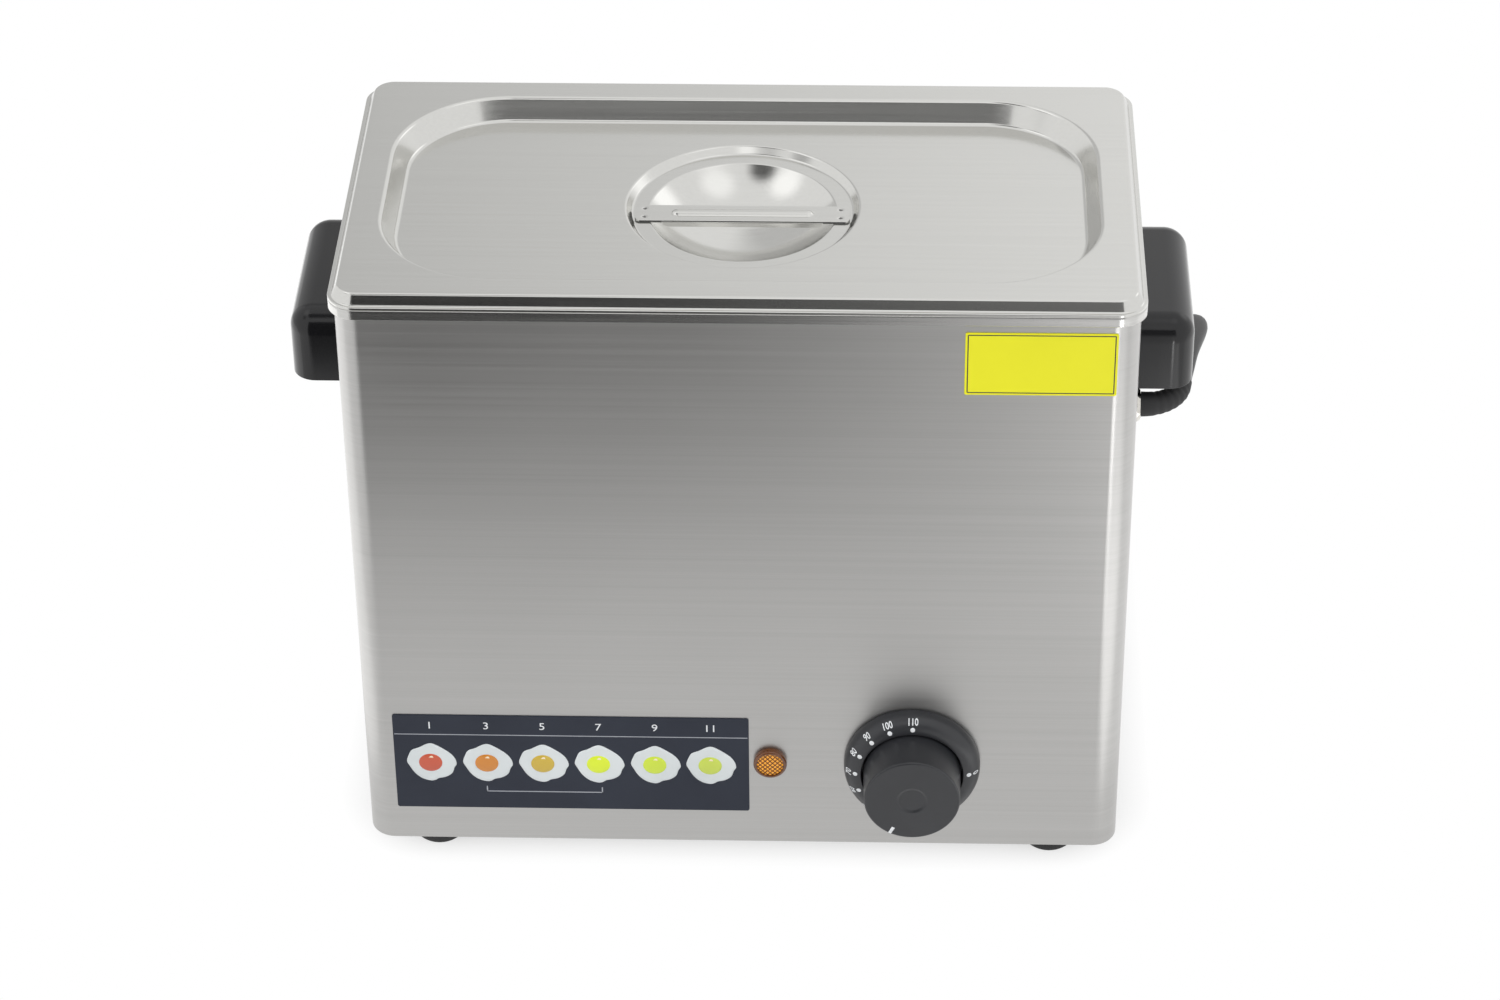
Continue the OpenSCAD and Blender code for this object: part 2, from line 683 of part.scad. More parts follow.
module handle() {
  difference() {
    union() {
      difference() {
        handle_form(0, handle_z);
        translate([-eps, 0, 0]) handle_form(handle_wall, handle_z - 5);
      }
      for (s = [-1, 1])
        translate([0, s * handle_screw_gap / 2, handle_screw_z]) rotate([0, 90, 0])
          cylinder(d = boss_d, h = boss_l);
      for (s = [-1, 1])
        translate([0, s * handle_screw_gap / 2 - handle_wall / 2, handle_screw_z])
          cube([boss_l, handle_wall, handle_h / 2 - 1]);
    }
    for (s = [-1, 1])
      translate([-1, s * handle_screw_gap / 2, handle_screw_z]) rotate([0, 90, 0])
        cylinder(d = m4_d + 2 * running_gap, h = boss_l - 1);
  }
}

module handle_left() color("#18181A") placed() mirror([1, 0, 0]) translate([side_x, 0, 0]) handle();
module handle_right() color("#18181A") placed() translate([side_x, 0, 0]) handle();

module handle_screws() {
  color("silver") placed() for (s = [-1, 1])
    for (y = [-1, 1]) translate([s * inner_side, y * handle_screw_gap / 2, handle_screw_z]) {
      rotate([0, -90 * s, 0]) cylinder(d = screw_head_d, h = screw_head_h);
      translate([-s * touch, 0, 0]) rotate([0, 90 * s, 0]) cylinder(d = m4_d, h = boss_l - 2);
    }
}

// ---------------------------------------------------------------- egg basket

module hole_grid(w, h) {
  nx = floor((w - basket_hole_d) / basket_pitch);
  ny = floor((h - basket_hole_d) / basket_pitch);
  for (i = [0:nx])
    for (j = [0:ny])
      translate([(i - nx / 2) * basket_pitch, (j - ny / 2) * basket_pitch]) circle(d = basket_hole_d, $fn = 32);
}

// the floor is a perforated plate, and the walls and round corners stand on it
module basket_floor() {
  color("#BDBDBB") placed() translate([0, 0, basket_z]) linear_extrude(basket_t) difference() {
    round_rect(basket_w, basket_d, basket_r);
    hole_grid(basket_run_x + 20, basket_d - 30);
  }
}

module basket_walls() {
  color("#BDBDBB") placed() for (k = [0:3]) {
    a = (k % 2 == 0 ? basket_w : basket_d) / 2;
    run = k % 2 == 0 ? basket_run_y : basket_run_x;
    rotate([0, 0, 90 * k]) translate([a - basket_t, 0, basket_wall_z + basket_wall_h / 2])
      rotate([90, 0, 90]) linear_extrude(basket_t) difference() {
        square([run, basket_wall_h], center = true);
        hole_grid(run, basket_wall_h);
      }
  }
}

module basket_corners() {
  color("#BDBDBB") placed() for (k = [0:3])
    rotate([0, 0, 90 * k]) translate([(k % 2 == 0 ? basket_run_x : basket_run_y) / 2,
        (k % 2 == 0 ? basket_run_y : basket_run_x) / 2, basket_wall_z])
      rotate_extrude(angle = 90) translate([basket_r - basket_t, 0]) square([basket_t, basket_wall_h]);
}

module basket_legs() {
  color("#BDBDBB") placed() for (x = [-1, 1])
    for (y = [-1, 1]) translate([x * basket_leg_x, y * basket_leg_y, tank_floor])
      cylinder(r = basket_wire_r, h = basket_leg_h);
}

// rim wire and the two grips
module basket_frame() {
  bend = 8;
  post = grip_h - bend - basket_wire_r;
  color("#BDBDBB") placed() {
    translate([0, 0, basket_top]) around_rect(basket_w, basket_d, basket_r)
      translate([-basket_t / 2, 0]) circle(basket_wire_r, $fn = 24);
    for (s = [-1, 1]) {
      x = s * (basket_w - basket_t) / 2;
      for (y = [-1, 1]) {
        translate([x, y * grip_w / 2, basket_top]) cylinder(r = basket_wire_r, h = post);
        translate([x, y * (grip_w / 2 - bend), basket_top + post]) rotate([90, 0, 90])
          rotate([0, 0, y > 0 ? 0 : 90]) rotate_extrude(angle = 90)
            translate([bend, 0]) circle(basket_wire_r, $fn = 24);
      }
      translate([x, 0, basket_top + grip_h - basket_wire_r]) rotate([90, 0, 0])
        cylinder(r = basket_wire_r, h = grip_w - 2 * bend, center = true);
    }
  }
}

// ---------------------------------------------------------------- dial and thermostat

module dial_ring() {
  r = dial_d / 2;
  inner = knob_d / 2 + knob_gap;
  lip = dial_h - dial_bend_r;
  color("#1D1D20") placed() translate([dial_x, front_y, dial_z]) rotate([90, 0, 0]) difference() {
    rotate_extrude() polygon(concat([[0, 0], [r, 0]], arc(r - dial_bend_r, lip, dial_bend_r, 0, 90, 10),
        [[inner + 0.5, dial_h], [inner, dial_h - 0.5], [inner, dial_floor], [0, dial_floor]]));
    translate([0, 0, -1]) cylinder(d = thermostat_boss_d + 2 * hole_gap, h = dial_floor + 2);
    for (s = [-1, 1]) translate([s * thermostat_screw_gap / 2, 0, -1])
      cylinder(d = m4_d + 2 * hole_gap, h = dial_floor + 2);
  }
}

module dial_screws() {
  color("silver") placed() for (s = [-1, 1]) {
    x = dial_x + s * thermostat_screw_gap / 2;
    front_rod(x, dial_z, screw_head_d, dial_floor, dial_floor + 2);
    front_rod(x, dial_z, m4_d, -sheet_t - 6, dial_floor + touch);
  }
}

module knob() {
  r0 = knob_d / 2;
  r1 = knob_face_d / 2;
  bevel = 0.7;
  dish_r = 6.5;
  h = knob_front - knob_back;
  color("#232326") placed() translate([dial_x, front_y - knob_back, dial_z]) rotate([90, 0, 0])
    difference() {
      rotate_extrude() polygon([[0, 0], [hub_d / 2, 0], [hub_d / 2, h - knob_wall],
          [r1 - knob_wall, h - knob_wall], [r0 - knob_wall, 0], [r0, 0], [r1, h - bevel],
          [r1 - bevel, h], [dish_r, h], [dish_r - 1.5, h - 0.6], [0, h - 0.6]]);
      // D-shaped hole for the spindle
      translate([0, 0, -1]) difference() {
        cylinder(d = spindle_d + 2 * running_gap, h = spindle_tip - knob_back + 1 + 0.3);
        translate([-spindle_d, spindle_d / 2 - spindle_flat + running_gap, -1])
          cube([2 * spindle_d, spindle_d, knob_front]);
      }
      // notch of the pointer
      rotate([0, 0, -pointer_angle]) translate([-pointer_w / 2, r1 - pointer_l, h - 0.4])
        cube([pointer_w, pointer_l + 2, 2]);
    }
}

module thermostat() {
  s = thermostat_size;
  back = sheet_t + thermostat_l;
  color("#D8D4C4") placed() difference() {
    union() {
      translate([dial_x - s / 2, inner_front, dial_z - s / 2]) cube([s, thermostat_l, s]);
      front_rod(dial_x, dial_z, thermostat_boss_d, -sheet_t - touch, dial_floor);
      // terminals at the back
      for (x = [-8, 8]) translate([dial_x + x - 3.2, front_y + back - touch, dial_z - 8])
        cube([6.4, 9, 0.8]);
    }
    front_rod(dial_x, dial_z, spindle_d + 2 * running_gap, -sheet_t - 12, dial_floor + 1);
    for (x = [-1, 1]) front_rod(dial_x + x * thermostat_screw_gap / 2, dial_z, m4_d + 2 * running_gap,
        -sheet_t - 8, 0);
  }
}

module thermostat_spindle() {
  color("#C9B46A") placed() translate([dial_x, front_y, dial_z]) rotate([90, 0, 0]) difference() {
    translate([0, 0, -sheet_t - 10]) cylinder(d = spindle_d, h = spindle_tip + sheet_t + 10);
    translate([-spindle_d, spindle_d / 2 - spindle_flat, knob_back])
      cube([2 * spindle_d, spindle_d, knob_front]);
  }
}

// ---------------------------------------------------------------- sensor

module sensor_bulb() {
  color("#B87333") placed() translate([0, -bulb_y, bulb_z]) rotate([0, 90, 0])
    cylinder(d = bulb_d, h = bulb_l, center = true);
}

module sensor_clips() {
  w = 6;
  color("silver") placed() for (x = [-bulb_l / 2 + 14, bulb_l / 2 - 14])
    translate([x - w / 2, -bulb_y, 0]) difference() {
      translate([0, -bulb_d / 2 - 1.2, tank_floor]) cube([w, bulb_d + 2.4, bulb_up + 1]);
      translate([-1, 0, bulb_z]) rotate([0, 90, 0]) cylinder(d = bulb_d + 2 * running_gap, h = w + 2);
    }
}

capillary_route = [[bulb_l / 2 + end_gap, -bulb_y, bulb_z], [bulb_l / 2 + 8, -bulb_y, bulb_z],
  [capillary_x - 12, -bulb_y, bulb_z + 5], [capillary_x - 3, -bulb_y, bulb_z + 7],
  [capillary_x, -bulb_y, bulb_z + 2], [capillary_x, -bulb_y, tank_floor],
  [capillary_x, -bulb_y, tank_under - 8], [capillary_x, -bulb_y - 2, tank_under - 14],
  [capillary_x, -bulb_y - 8, dial_z + thermostat_size / 2 + 7],
  [capillary_x, -bulb_y - 10, dial_z + thermostat_size / 2 + end_gap]];
module capillary() {
  color("#B87333") placed() tube(smooth(capillary_route, 3), capillary_d / 2, 6);
}

module capillary_gland() {
  color("#C9B46A") placed() translate([capillary_x, -bulb_y, 0]) difference() {
    union() {
      translate([0, 0, tank_floor]) hex(11, 4);
      translate([0, 0, tank_under - 7]) cylinder(d = gland_thread_d, h = 7 + sheet_t + touch);
    }
    translate([0, 0, tank_under - 8]) cylinder(d = capillary_d + 0.6, h = 20);
  }
}

module capillary_nut() {
  color("#C9B46A") placed() translate([capillary_x, -bulb_y, tank_under - 4]) difference() {
    hex(12, 4);
    translate([0, 0, -1]) cylinder(d = gland_thread_d + 2 * running_gap, h = 6);
  }
}

// ---------------------------------------------------------------- pilot lamp

module pilot_lens() {
  r = lamp_d / 2;
  color("#E07A10") placed() translate([lamp_x, front_y, dial_z]) rotate([90, 0, 0])
    rotate_extrude() polygon(concat([[0, 0], [r, 0], [r, lamp_out - 1.2]],
        arc(r - 1.2, lamp_out - 1.2, 1.2, 0, 90, 4), [[0, lamp_out]]));
}

module pilot_body() {
  color("#E8E4DA") placed() {
    front_rod(lamp_x, dial_z, lamp_barrel_d, -lamp_l, 0);
    for (x = [-2.5, 2.5]) translate([lamp_x + x - 0.4, front_y + lamp_l - touch, dial_z - 2.4])
      cube([0.8, 8, 4.8]);
  }
}

module pilot_nut() {
  color("#2A2A2C") placed() difference() {
    front_rod(lamp_x, dial_z, lamp_barrel_d + 7, -sheet_t - 3, -sheet_t);
    front_rod(lamp_x, dial_z, lamp_barrel_d + 2 * running_gap, -sheet_t - 5, 1);
  }
}

// ---------------------------------------------------------------- heating element

module heating_element() {
  r = element_d / 2;
  half = element_gap / 2;
  b = element_bend_r;
  color("#8C8C8A") placed() {
    for (s = [-1, 1]) translate([0, s * half, 0]) {
      translate([element_leg_x, 0, tank_under - element_tail])
        cylinder(r = r, h = element_z - b - tank_under + element_tail);
      translate([element_leg_x, 0, tank_under - element_tail - 8]) cylinder(d = 3, h = 8 + touch);
      translate([element_leg_x + b, 0, element_z - b]) rotate([90, 0, 0]) rotate([0, 0, 90])
        rotate_extrude(angle = 90) translate([b, 0]) circle(r);
      translate([element_leg_x + b, 0, element_z]) rotate([0, 90, 0])
        cylinder(r = r, h = element_far_x - element_leg_x - b);
    }
    translate([element_far_x, 0, element_z]) rotate([0, 0, -90])
      rotate_extrude(angle = 180) translate([half, 0]) circle(r);
  }
}

module element_bushes() {
  color("#C9B46A") placed() element_leg_places() difference() {
    union() {
      translate([0, 0, tank_floor + gasket_t]) hex(bush_d + 5, bush_head_h);
      translate([0, 0, tank_under - bush_under])
        cylinder(d = bush_d, h = bush_under + sheet_t + gasket_t + touch);
    }
    translate([0, 0, tank_under - bush_under - 1])
      cylinder(d = element_d + 2 * running_gap, h = bush_under + bush_head_h + 10);
  }
}

module element_gaskets() {
  color("#7A2F22") placed() element_leg_places() translate([0, 0, tank_floor]) difference() {
    cylinder(d = bush_d + 8, h = gasket_t);
    translate([0, 0, -1]) cylinder(d = bush_d + 2 * hole_gap, h = gasket_t + 2);
  }
}

module element_nuts() {
  color("#C9B46A") placed() element_leg_places() translate([0, 0, tank_under - nut_h]) difference() {
    hex(bush_d + 6, nut_h);
    translate([0, 0, -1]) cylinder(d = bush_d + 2 * running_gap, h = nut_h + 2);
  }
}

// ---------------------------------------------------------------- other electrics

cutout_x = -20;
cutout_y = 10;
cutout_d = 16;
cutout_h = 8;
module safety_cutout() {
  color("#2B2B2B") placed() translate([cutout_x, cutout_y, tank_under - cutout_h]) {
    cylinder(d = cutout_d, h = cutout_h);
    for (s = [-1, 1]) translate([s * 5 - 0.4, -3, -8]) cube([0.8, 6, 8 + touch]);
  }
}

module cutout_bracket() {
  w = cutout_d + 24;
  d = cutout_d + 8;
  color("silver") placed() translate([cutout_x, cutout_y, tank_under - 1]) difference() {
    translate([-w / 2, -d / 2, 0]) cube([w, d, 1]);
    translate([0, 0, -1]) cylinder(d = cutout_d + 2 * running_gap, h = 3);
  }
}

block_x = 100;
block_y = 30;
block_l = 36;
block_w = 20;
block_h = 16;
block_pitch = 11;                 // between the block's three ways
block_screw_y = 5;
block_well = 4;                   // depth of a screw's well
block_top = base_top + block_h;
module block_screw_places() {
  for (i = [-1, 0, 1])
    for (s = [-1, 1])
      translate([block_x + block_pitch * i, block_y + s * block_screw_y, block_top - block_well]) children();
}
module terminal_block() {
  color("#EDEBE2") placed() difference() {
    translate([block_x - block_l / 2, block_y - block_w / 2, base_top]) cube([block_l, block_w, block_h]);
    block_screw_places() cylinder(d = 5, h = block_well + 2);
  }
}

module terminal_screws() {
  color("#C9B46A") placed() block_screw_places() cylinder(d = 4.4, h = 2.5);
}

module earth_stud() {
  color("#C9B46A") placed() translate([earth_x, earth_y, 0]) {
    translate([0, 0, flange_top - 2]) cylinder(d = 7, h = 2);
    translate([0, 0, flange_top - touch]) cylinder(d = m4_d, h = base_t + 14);
  }
}

module earth_nut() {
  color("silver") placed() translate([earth_x, earth_y, base_top]) difference() {
    hex(m4_nut_w, m4_nut_h);
    translate([0, 0, -1]) cylinder(d = m4_d + 2 * running_gap, h = m4_nut_h + 2);
  }
}

// three cores, from the gland down beside the tank to the terminal block
wire_r = 1.1;
function wire_route(i) = let (y = -exit_y + 2.6 * i, x = inner_side - 7.3) [
  [inner_side - 5.5 - end_gap, y, exit_z], [x + 0.6, y, exit_z - 1.5], [x, y, exit_z - 8],
  [x, y, exit_z - 60], [x, y, tank_under + 10], [x - 4, y + 8, tank_under - 14],
  [block_x + block_pitch * i + 10, block_y - 34, block_top + 22],
  [block_x + block_pitch * i + 1, block_y - 14, block_top + 12],
  [block_x + block_pitch * i, block_y - block_screw_y, block_top + 6],
  [block_x + block_pitch * i, block_y - block_screw_y, block_top - 1.5 + end_gap]];
module supply_wires() {
  color("#7A4A22") placed() for (i = [-1, 0, 1]) tube(smooth(wire_route(i), 3), wire_r, 6);
}

// ---------------------------------------------------------------- mains lead

module cord_gland() {
  color("#C6C6C4") placed() translate([0, -exit_y, exit_z]) rotate([0, 90, 0]) {
    translate([0, 0, side_x]) cylinder(d1 = gland_d, d2 = gland_d - 1.5, h = gland_out);
    translate([0, 0, inner_side - 5.5]) cylinder(d = gland_d - 4, h = 5.5 + sheet_t + touch);
  }
}

module gland_nut() {
  color("#C6C6C4") placed() translate([inner_side - 3.5, -exit_y, exit_z]) rotate([0, 90, 0]) difference() {
    rotate([0, 0, 30]) hex(gland_d, 3.5);
    translate([0, 0, -1]) cylinder(d = gland_d - 4 + 2 * running_gap, h = 6);
  }
}

boot_steps = 8;
boot_route = concat([[exit_x, -exit_y, exit_z]],
  [for (i = [0:boot_steps]) let (a = boot_turn * i / boot_steps)
    [boot_turn_x + boot_bend_r * sin(a), -exit_y + boot_bend_r * (1 - cos(a)), exit_z]],
  [boot_end]);
module cord_boot() {
  n = len(boot_route);
  color("#1B1B1D") placed() tube(boot_route,
    [for (i = [0:n - 1]) boot_d / 2 + (cord_d / 2 + 0.5 - boot_d / 2) * i / (n - 1)], 12);
}

// route points of the free lead: back along the casing's side behind the handle, down behind
// the casing, and along the table into the coil
lead_end = [coil_x + coil_outer_r, coil_y - cord_d, coil_z];
lead_points = [boot_end, boot_end + 10 * [cos(boot_turn), sin(boot_turn), 0], [186, 1, 206.3],
  [189, 13, 205], [192, 25, 203], [193, 37, 199], [191, 49, 192], [186, 60, 183], [179, 71, 170],
  [171, 82, 154], [164.5, 91, 136], [159, 99, 116], [154, 105, 94], [149, 110, 73], [143, 114, 53],
  [135, 117.5, 36], [125.5, 120.3, 21.5], [115.5, 123.3, 11], [105.7, 127.4, 5.4], [96.6, 135, 4],
  [90.4, 145.8, coil_z], lead_end - [0, 10, 0], lead_end];
module mains_lead() {
  color("#1B1B1D") placed() tube(lead_points, cord_d / 2, 8);
}

// the coil: loops spiral in on the table, climb a layer in the innermost half turn and spiral out
// again, and both ends run straight for one diameter of the lead
coil_steps = coil_rings * coil_loops;
function coil_point(r, a, z) = [coil_x + r * cos(a), coil_y + r * sin(a), z];
coil_in = [for (i = [0:coil_steps])
  coil_point(coil_outer_r - coil_pitch * i / coil_rings, 360 * i / coil_rings, coil_z)];
coil_climb = [for (i = [1:coil_rings / 2]) let (t = 2 * i / coil_rings)
  coil_point(coil_r - 0.1 * coil_pitch * sin(180 * t), 360 * i / coil_rings,
    coil_z + (coil_top_z - coil_z) * t)];
coil_out = [for (i = [1:coil_steps])
  coil_point(coil_r + coil_pitch * i / coil_rings, 180 + 360 * i / coil_rings, coil_top_z)];
coil_last = coil_point(coil_outer_r, 180, coil_top_z) - [0, cord_d, 0];
coil_route = concat([lead_end], coil_in, coil_climb, coil_out, [coil_last]);
module lead_coil() {
  color("#1B1B1D") placed() tube(coil_route, cord_d / 2, 6);
}

// route points from the coil to the plug beside it
tail_end = [coil_last[0] - 50, coil_last[1] - 44, plug_z];
tail_points = [coil_last, coil_last + [0, -10, 0], coil_last + [-2.5, -22, 0.6],
  coil_last + [-10.4, -33.6, 2.2], coil_last + [-22, -41.4, 4.4], tail_end + [14, 0, 0], tail_end];
module lead_tail() {
  color("#1B1B1D") placed() tube(tail_points, cord_d / 2, 8);
}

// least gap between the coil's turns, on points more than half a turn apart, and the lengths
coil_min = min([for (i = [0:3:len(coil_route) - 1]) for (j = [i + coil_rings / 2:len(coil_route) - 1])
  norm(coil_route[i] - coil_route[j])]) - cord_d;
function sum(v, i = 0, t = 0) = i == len(v) ? t : sum(v, i + 1, t + v[i]);
function len_of(p) = sum([for (i = [0:len(p) - 2]) norm(p[i + 1] - p[i])]);
echo(coil_least_gap = coil_min);
echo(cord_length = len_of(boot_route) + len_of(lead_points) + len_of(coil_route) + len_of(tail_points));

module plug_axis() {
  translate(tail_end - [plug_l, 0, 0]) rotate([0, 90, 0]) children();
}
module plug_body() {
  color("#1B1B1D") placed() plug_axis() rotate_extrude() polygon([[0, 0], [plug_d / 2 - 1, 0],
      [plug_d / 2, 1], [plug_d / 2, 16], [plug_d / 2 - 3, 20], [11, 30], [7, 38], [6, plug_l], [0, plug_l]]);
}
module plug_pins() {
  pin_l = 19;
  color("silver") placed() plug_axis() for (s = [-1, 1]) translate([0, s * 9.5, -pin_l]) {
    cylinder(d = 4.8, h = pin_l);
    sphere(2.4);
  }
}

// ---------------------------------------------------------------- plates

module time_chart() {
  color("#3C404C") placed()
    translate([-side_x + chart_in + chart_w / 2, front_y, casing_z + chart_up + chart_h / 2])
      rotate([90, 0, 0]) linear_extrude(chart_t) round_rect(chart_w, chart_h, 1);
}

module write_on_plate() {
  color("#E8DE1E") placed()
    translate([side_x - tag_in - tag_w / 2, front_y, casing_top - tag_drop - tag_h / 2])
      rotate([90, 0, 0]) linear_extrude(tag_t) round_rect(tag_w, tag_h, 0.8);
}

// ---------------------------------------------------------------- all pieces

casing();
base_plate();
base_screws();
foot_front_left();
foot_front_right();
foot_back_left();
foot_back_right();
foot_screws();
foot_nuts();
tank();
lid();
lid_strap();
handle_left();
handle_right();
handle_screws();
basket_floor();
basket_walls();
basket_corners();
basket_legs();
basket_frame();
dial_ring();
dial_screws();
knob();
thermostat();
thermostat_spindle();
sensor_bulb();
sensor_clips();
capillary();
capillary_gland();
capillary_nut();
pilot_lens();
pilot_body();
pilot_nut();
heating_element();
element_bushes();
element_gaskets();
element_nuts();
safety_cutout();
cutout_bracket();
terminal_block();
terminal_screws();
earth_stud();
earth_nut();
supply_wires();
cord_gland();
gland_nut();
cord_boot();
mains_lead();
lead_coil();
lead_tail();
plug_body();
plug_pins();
time_chart();
write_on_plate();
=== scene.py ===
import json
from math import asin, atan2, cos, degrees, hypot, pi, radians, sin, sqrt, tan, tau

import bmesh
import bpy
from mathutils import Matrix, Vector


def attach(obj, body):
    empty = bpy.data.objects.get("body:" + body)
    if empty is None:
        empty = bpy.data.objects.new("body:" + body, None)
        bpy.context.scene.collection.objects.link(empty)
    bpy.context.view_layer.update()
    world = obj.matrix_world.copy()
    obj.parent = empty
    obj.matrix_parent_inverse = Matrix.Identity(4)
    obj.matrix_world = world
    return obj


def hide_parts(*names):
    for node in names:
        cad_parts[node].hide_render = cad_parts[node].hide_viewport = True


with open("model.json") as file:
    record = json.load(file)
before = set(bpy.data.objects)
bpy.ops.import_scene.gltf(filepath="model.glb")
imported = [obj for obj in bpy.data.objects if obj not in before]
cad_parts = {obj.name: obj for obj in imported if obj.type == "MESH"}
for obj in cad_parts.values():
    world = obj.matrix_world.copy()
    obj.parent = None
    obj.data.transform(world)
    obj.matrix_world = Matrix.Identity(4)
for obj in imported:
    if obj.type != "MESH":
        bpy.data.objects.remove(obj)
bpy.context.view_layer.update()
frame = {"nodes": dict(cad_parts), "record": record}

# Sizes are millimetres from the casing's middle and the table, and at() gives the frame's metres.
# The camera, the stage and the materials' depths are in metres.
SHIFT_Y = 11.65
MM = 0.001
NODES = frame["nodes"]
SLOTS = {p["node"]: p["material_slot"] for p in frame["record"]["subparts"]}


def at(x, y, z):
    return Vector((x * MM, (y + SHIFT_Y) * MM, z * MM))


def put(name, data):
    """An object in the scene for a mesh, a curve, a light or a camera."""
    obj = bpy.data.objects.new(name, data)
    bpy.context.scene.collection.objects.link(obj)
    return obj


# ---------- camera

YAW, PITCH, ROLL = radians(2.09), radians(35.24), radians(0.59)
EYE = (0.0575, -1.51705, 1.211)
FOCAL, SENSOR = 104.55, 36


def make_camera():
    ahead = Vector((-sin(YAW) * cos(PITCH), cos(YAW) * cos(PITCH), -sin(PITCH)))
    level = Vector((cos(YAW), sin(YAW), 0))
    below = ahead.cross(level)
    right = cos(ROLL) * level + sin(ROLL) * below
    down = -sin(ROLL) * level + cos(ROLL) * below
    data = bpy.data.cameras.new("camera")
    data.lens = FOCAL
    data.sensor_width = SENSOR
    data.clip_start, data.clip_end = 0.05, 20
    cam = put("camera", data)
    cam.matrix_world = Matrix.Translation(EYE) @ Matrix((right, -down, -ahead)).transposed().to_4x4()
    bpy.context.scene.camera = cam


make_camera()


# ---------- shader nodes

def new_material(name):
    """A material, its node tree and its main shader."""
    mat = bpy.data.materials.new(name)
    mat.use_nodes = True
    tree = mat.node_tree
    return mat, tree, tree.nodes["Principled BSDF"]


def feed(tree, node, inputs):
    """Gives a node its inputs: sockets are linked, anything else is a plain value."""
    for name, value in inputs.items():
        if isinstance(value, bpy.types.NodeSocket):
            tree.links.new(value, node.inputs[name])
        else:
            node.inputs[name].default_value = value


def add(tree, kind, inputs=None, **settings):
    """A new node's outputs, after its own settings and its inputs."""
    node = tree.nodes.new("ShaderNode" + kind)
    for name, value in settings.items():
        setattr(node, name, value)
    feed(tree, node, inputs or {})
    return node.outputs


def sums(tree, operation, *values):
    return add(tree, "Math", dict(enumerate(values)), operation=operation)[0]


def length(tree, vector):
    return add(tree, "VectorMath", {0: vector}, operation="LENGTH")["Value"]


def place_on(tree):
    """A point in its object's own axes."""
    return add(tree, "TexCoord")["Object"]


def noise(tree, scale, detail=3.0, rough=0.5):
    at_scale = add(tree, "Mapping", {"Vector": place_on(tree), "Scale": scale})["Vector"]
    return add(tree, "TexNoise", {"Vector": at_scale, "Scale": 1.0, "Detail": detail,
                                  "Roughness": rough})["Fac"]


def spread(tree, source, low, high, start=0.3, stop=0.7):
    """The source from start to stop, stretched to run from low to high."""
    return add(tree, "MapRange", {"Value": source, "From Min": start, "From Max": stop,
                                  "To Min": low, "To Max": high})["Result"]


def blend_colour(tree, factor, one, two):
    return add(tree, "Mix", {"Factor": factor, "A": (*one, 1), "B": (*two, 1)}, data_type="RGBA")["Result"]


def bump(tree, shader, source, strength, distance, after=None):
    """Fine relief of a surface, on top of the relief given as after."""
    inputs = {"Strength": strength, "Distance": distance, "Height": source}
    if after:
        inputs["Normal"] = after
    normal = add(tree, "Bump", inputs)["Normal"]
    feed(tree, shader, {"Normal": normal})
    return normal


# ---------- materials

def steel(name, dark, light, rough, grain, grain_depth, wave=0.0, aniso=0.0, broad=None):
    """Ground or rolled sheet: fine grain along one direction, faint clouds and soft waves."""
    mat, tree, shader = new_material(name)
    lines = noise(tree, grain, 4.0, 0.6)
    tone = lines
    if broad:
        half = sums(tree, "MULTIPLY", noise(tree, broad, 3.0, 0.6), 0.5)
        tone = sums(tree, "MULTIPLY_ADD", lines, 0.5, half)
    clouds = noise(tree, (9, 9, 9), 2.0)
    uneven = sums(tree, "ADD", spread(tree, tone, -0.1 * rough, 0.1 * rough),
                  spread(tree, clouds, 0.95 * rough, 1.05 * rough))
    colour = blend_colour(tree, spread(tree, tone, 0.0, 1.0), dark, light)
    feed(tree, shader, {"Metallic": 1.0, "Base Color": colour, "Roughness": uneven})
    if aniso:
        feed(tree, shader, {"Anisotropic": aniso, "Anisotropic Rotation": 0.25})
    fine = bump(tree, shader, lines, 0.35, grain_depth)
    if wave:
        bump(tree, shader, noise(tree, (14, 14, 14), 1.0), 0.5, wave, fine)
    return mat


def plastic(name, dark, light, rough, speck=2600.0, depth=2e-5, coat=0.0, shine=0.5):
    """Moulded plastic, rubber or print: a fine surface and a little unevenness in its sheen."""
    mat, tree, shader = new_material(name)
    clouds = noise(tree, (26, 26, 26), 3.0)
    colour = blend_colour(tree, spread(tree, clouds, 0.0, 1.0), dark, light)
    feed(tree, shader, {"Base Color": colour, "Roughness": spread(tree, clouds, 0.85 * rough, 1.2 * rough),
                        "Specular IOR Level": shine})
    if coat:
        feed(tree, shader, {"Coat Weight": coat, "Coat Roughness": 0.08})
    bump(tree, shader, noise(tree, (speck,) * 3, 2.0), 0.3, depth)
    return mat


def amber():
    """Clear orange, darkened in the grooves of the lens as painted shade."""
    mat, tree, shader = new_material("lens_amber")
    # the prisms' relief darkens the colour towards the grooves: painted shade
    relief = spread(tree, add(tree, "Attribute", attribute_name="relief")["Fac"], 0.0, 1.0, 0.25, 0.95)
    feed(tree, shader, {"Base Color": blend_colour(tree, relief, (0.10, 0.018, 0.001), (1.0, 0.44, 0.05)),
                        "Roughness": 0.16, "Coat Weight": 0.1, "Specular IOR Level": 0.35,
                        "Subsurface Weight": 0.04, "Subsurface Radius": (0.002, 0.0008, 0.0003),
                        "Subsurface Scale": 0.3})
    return mat


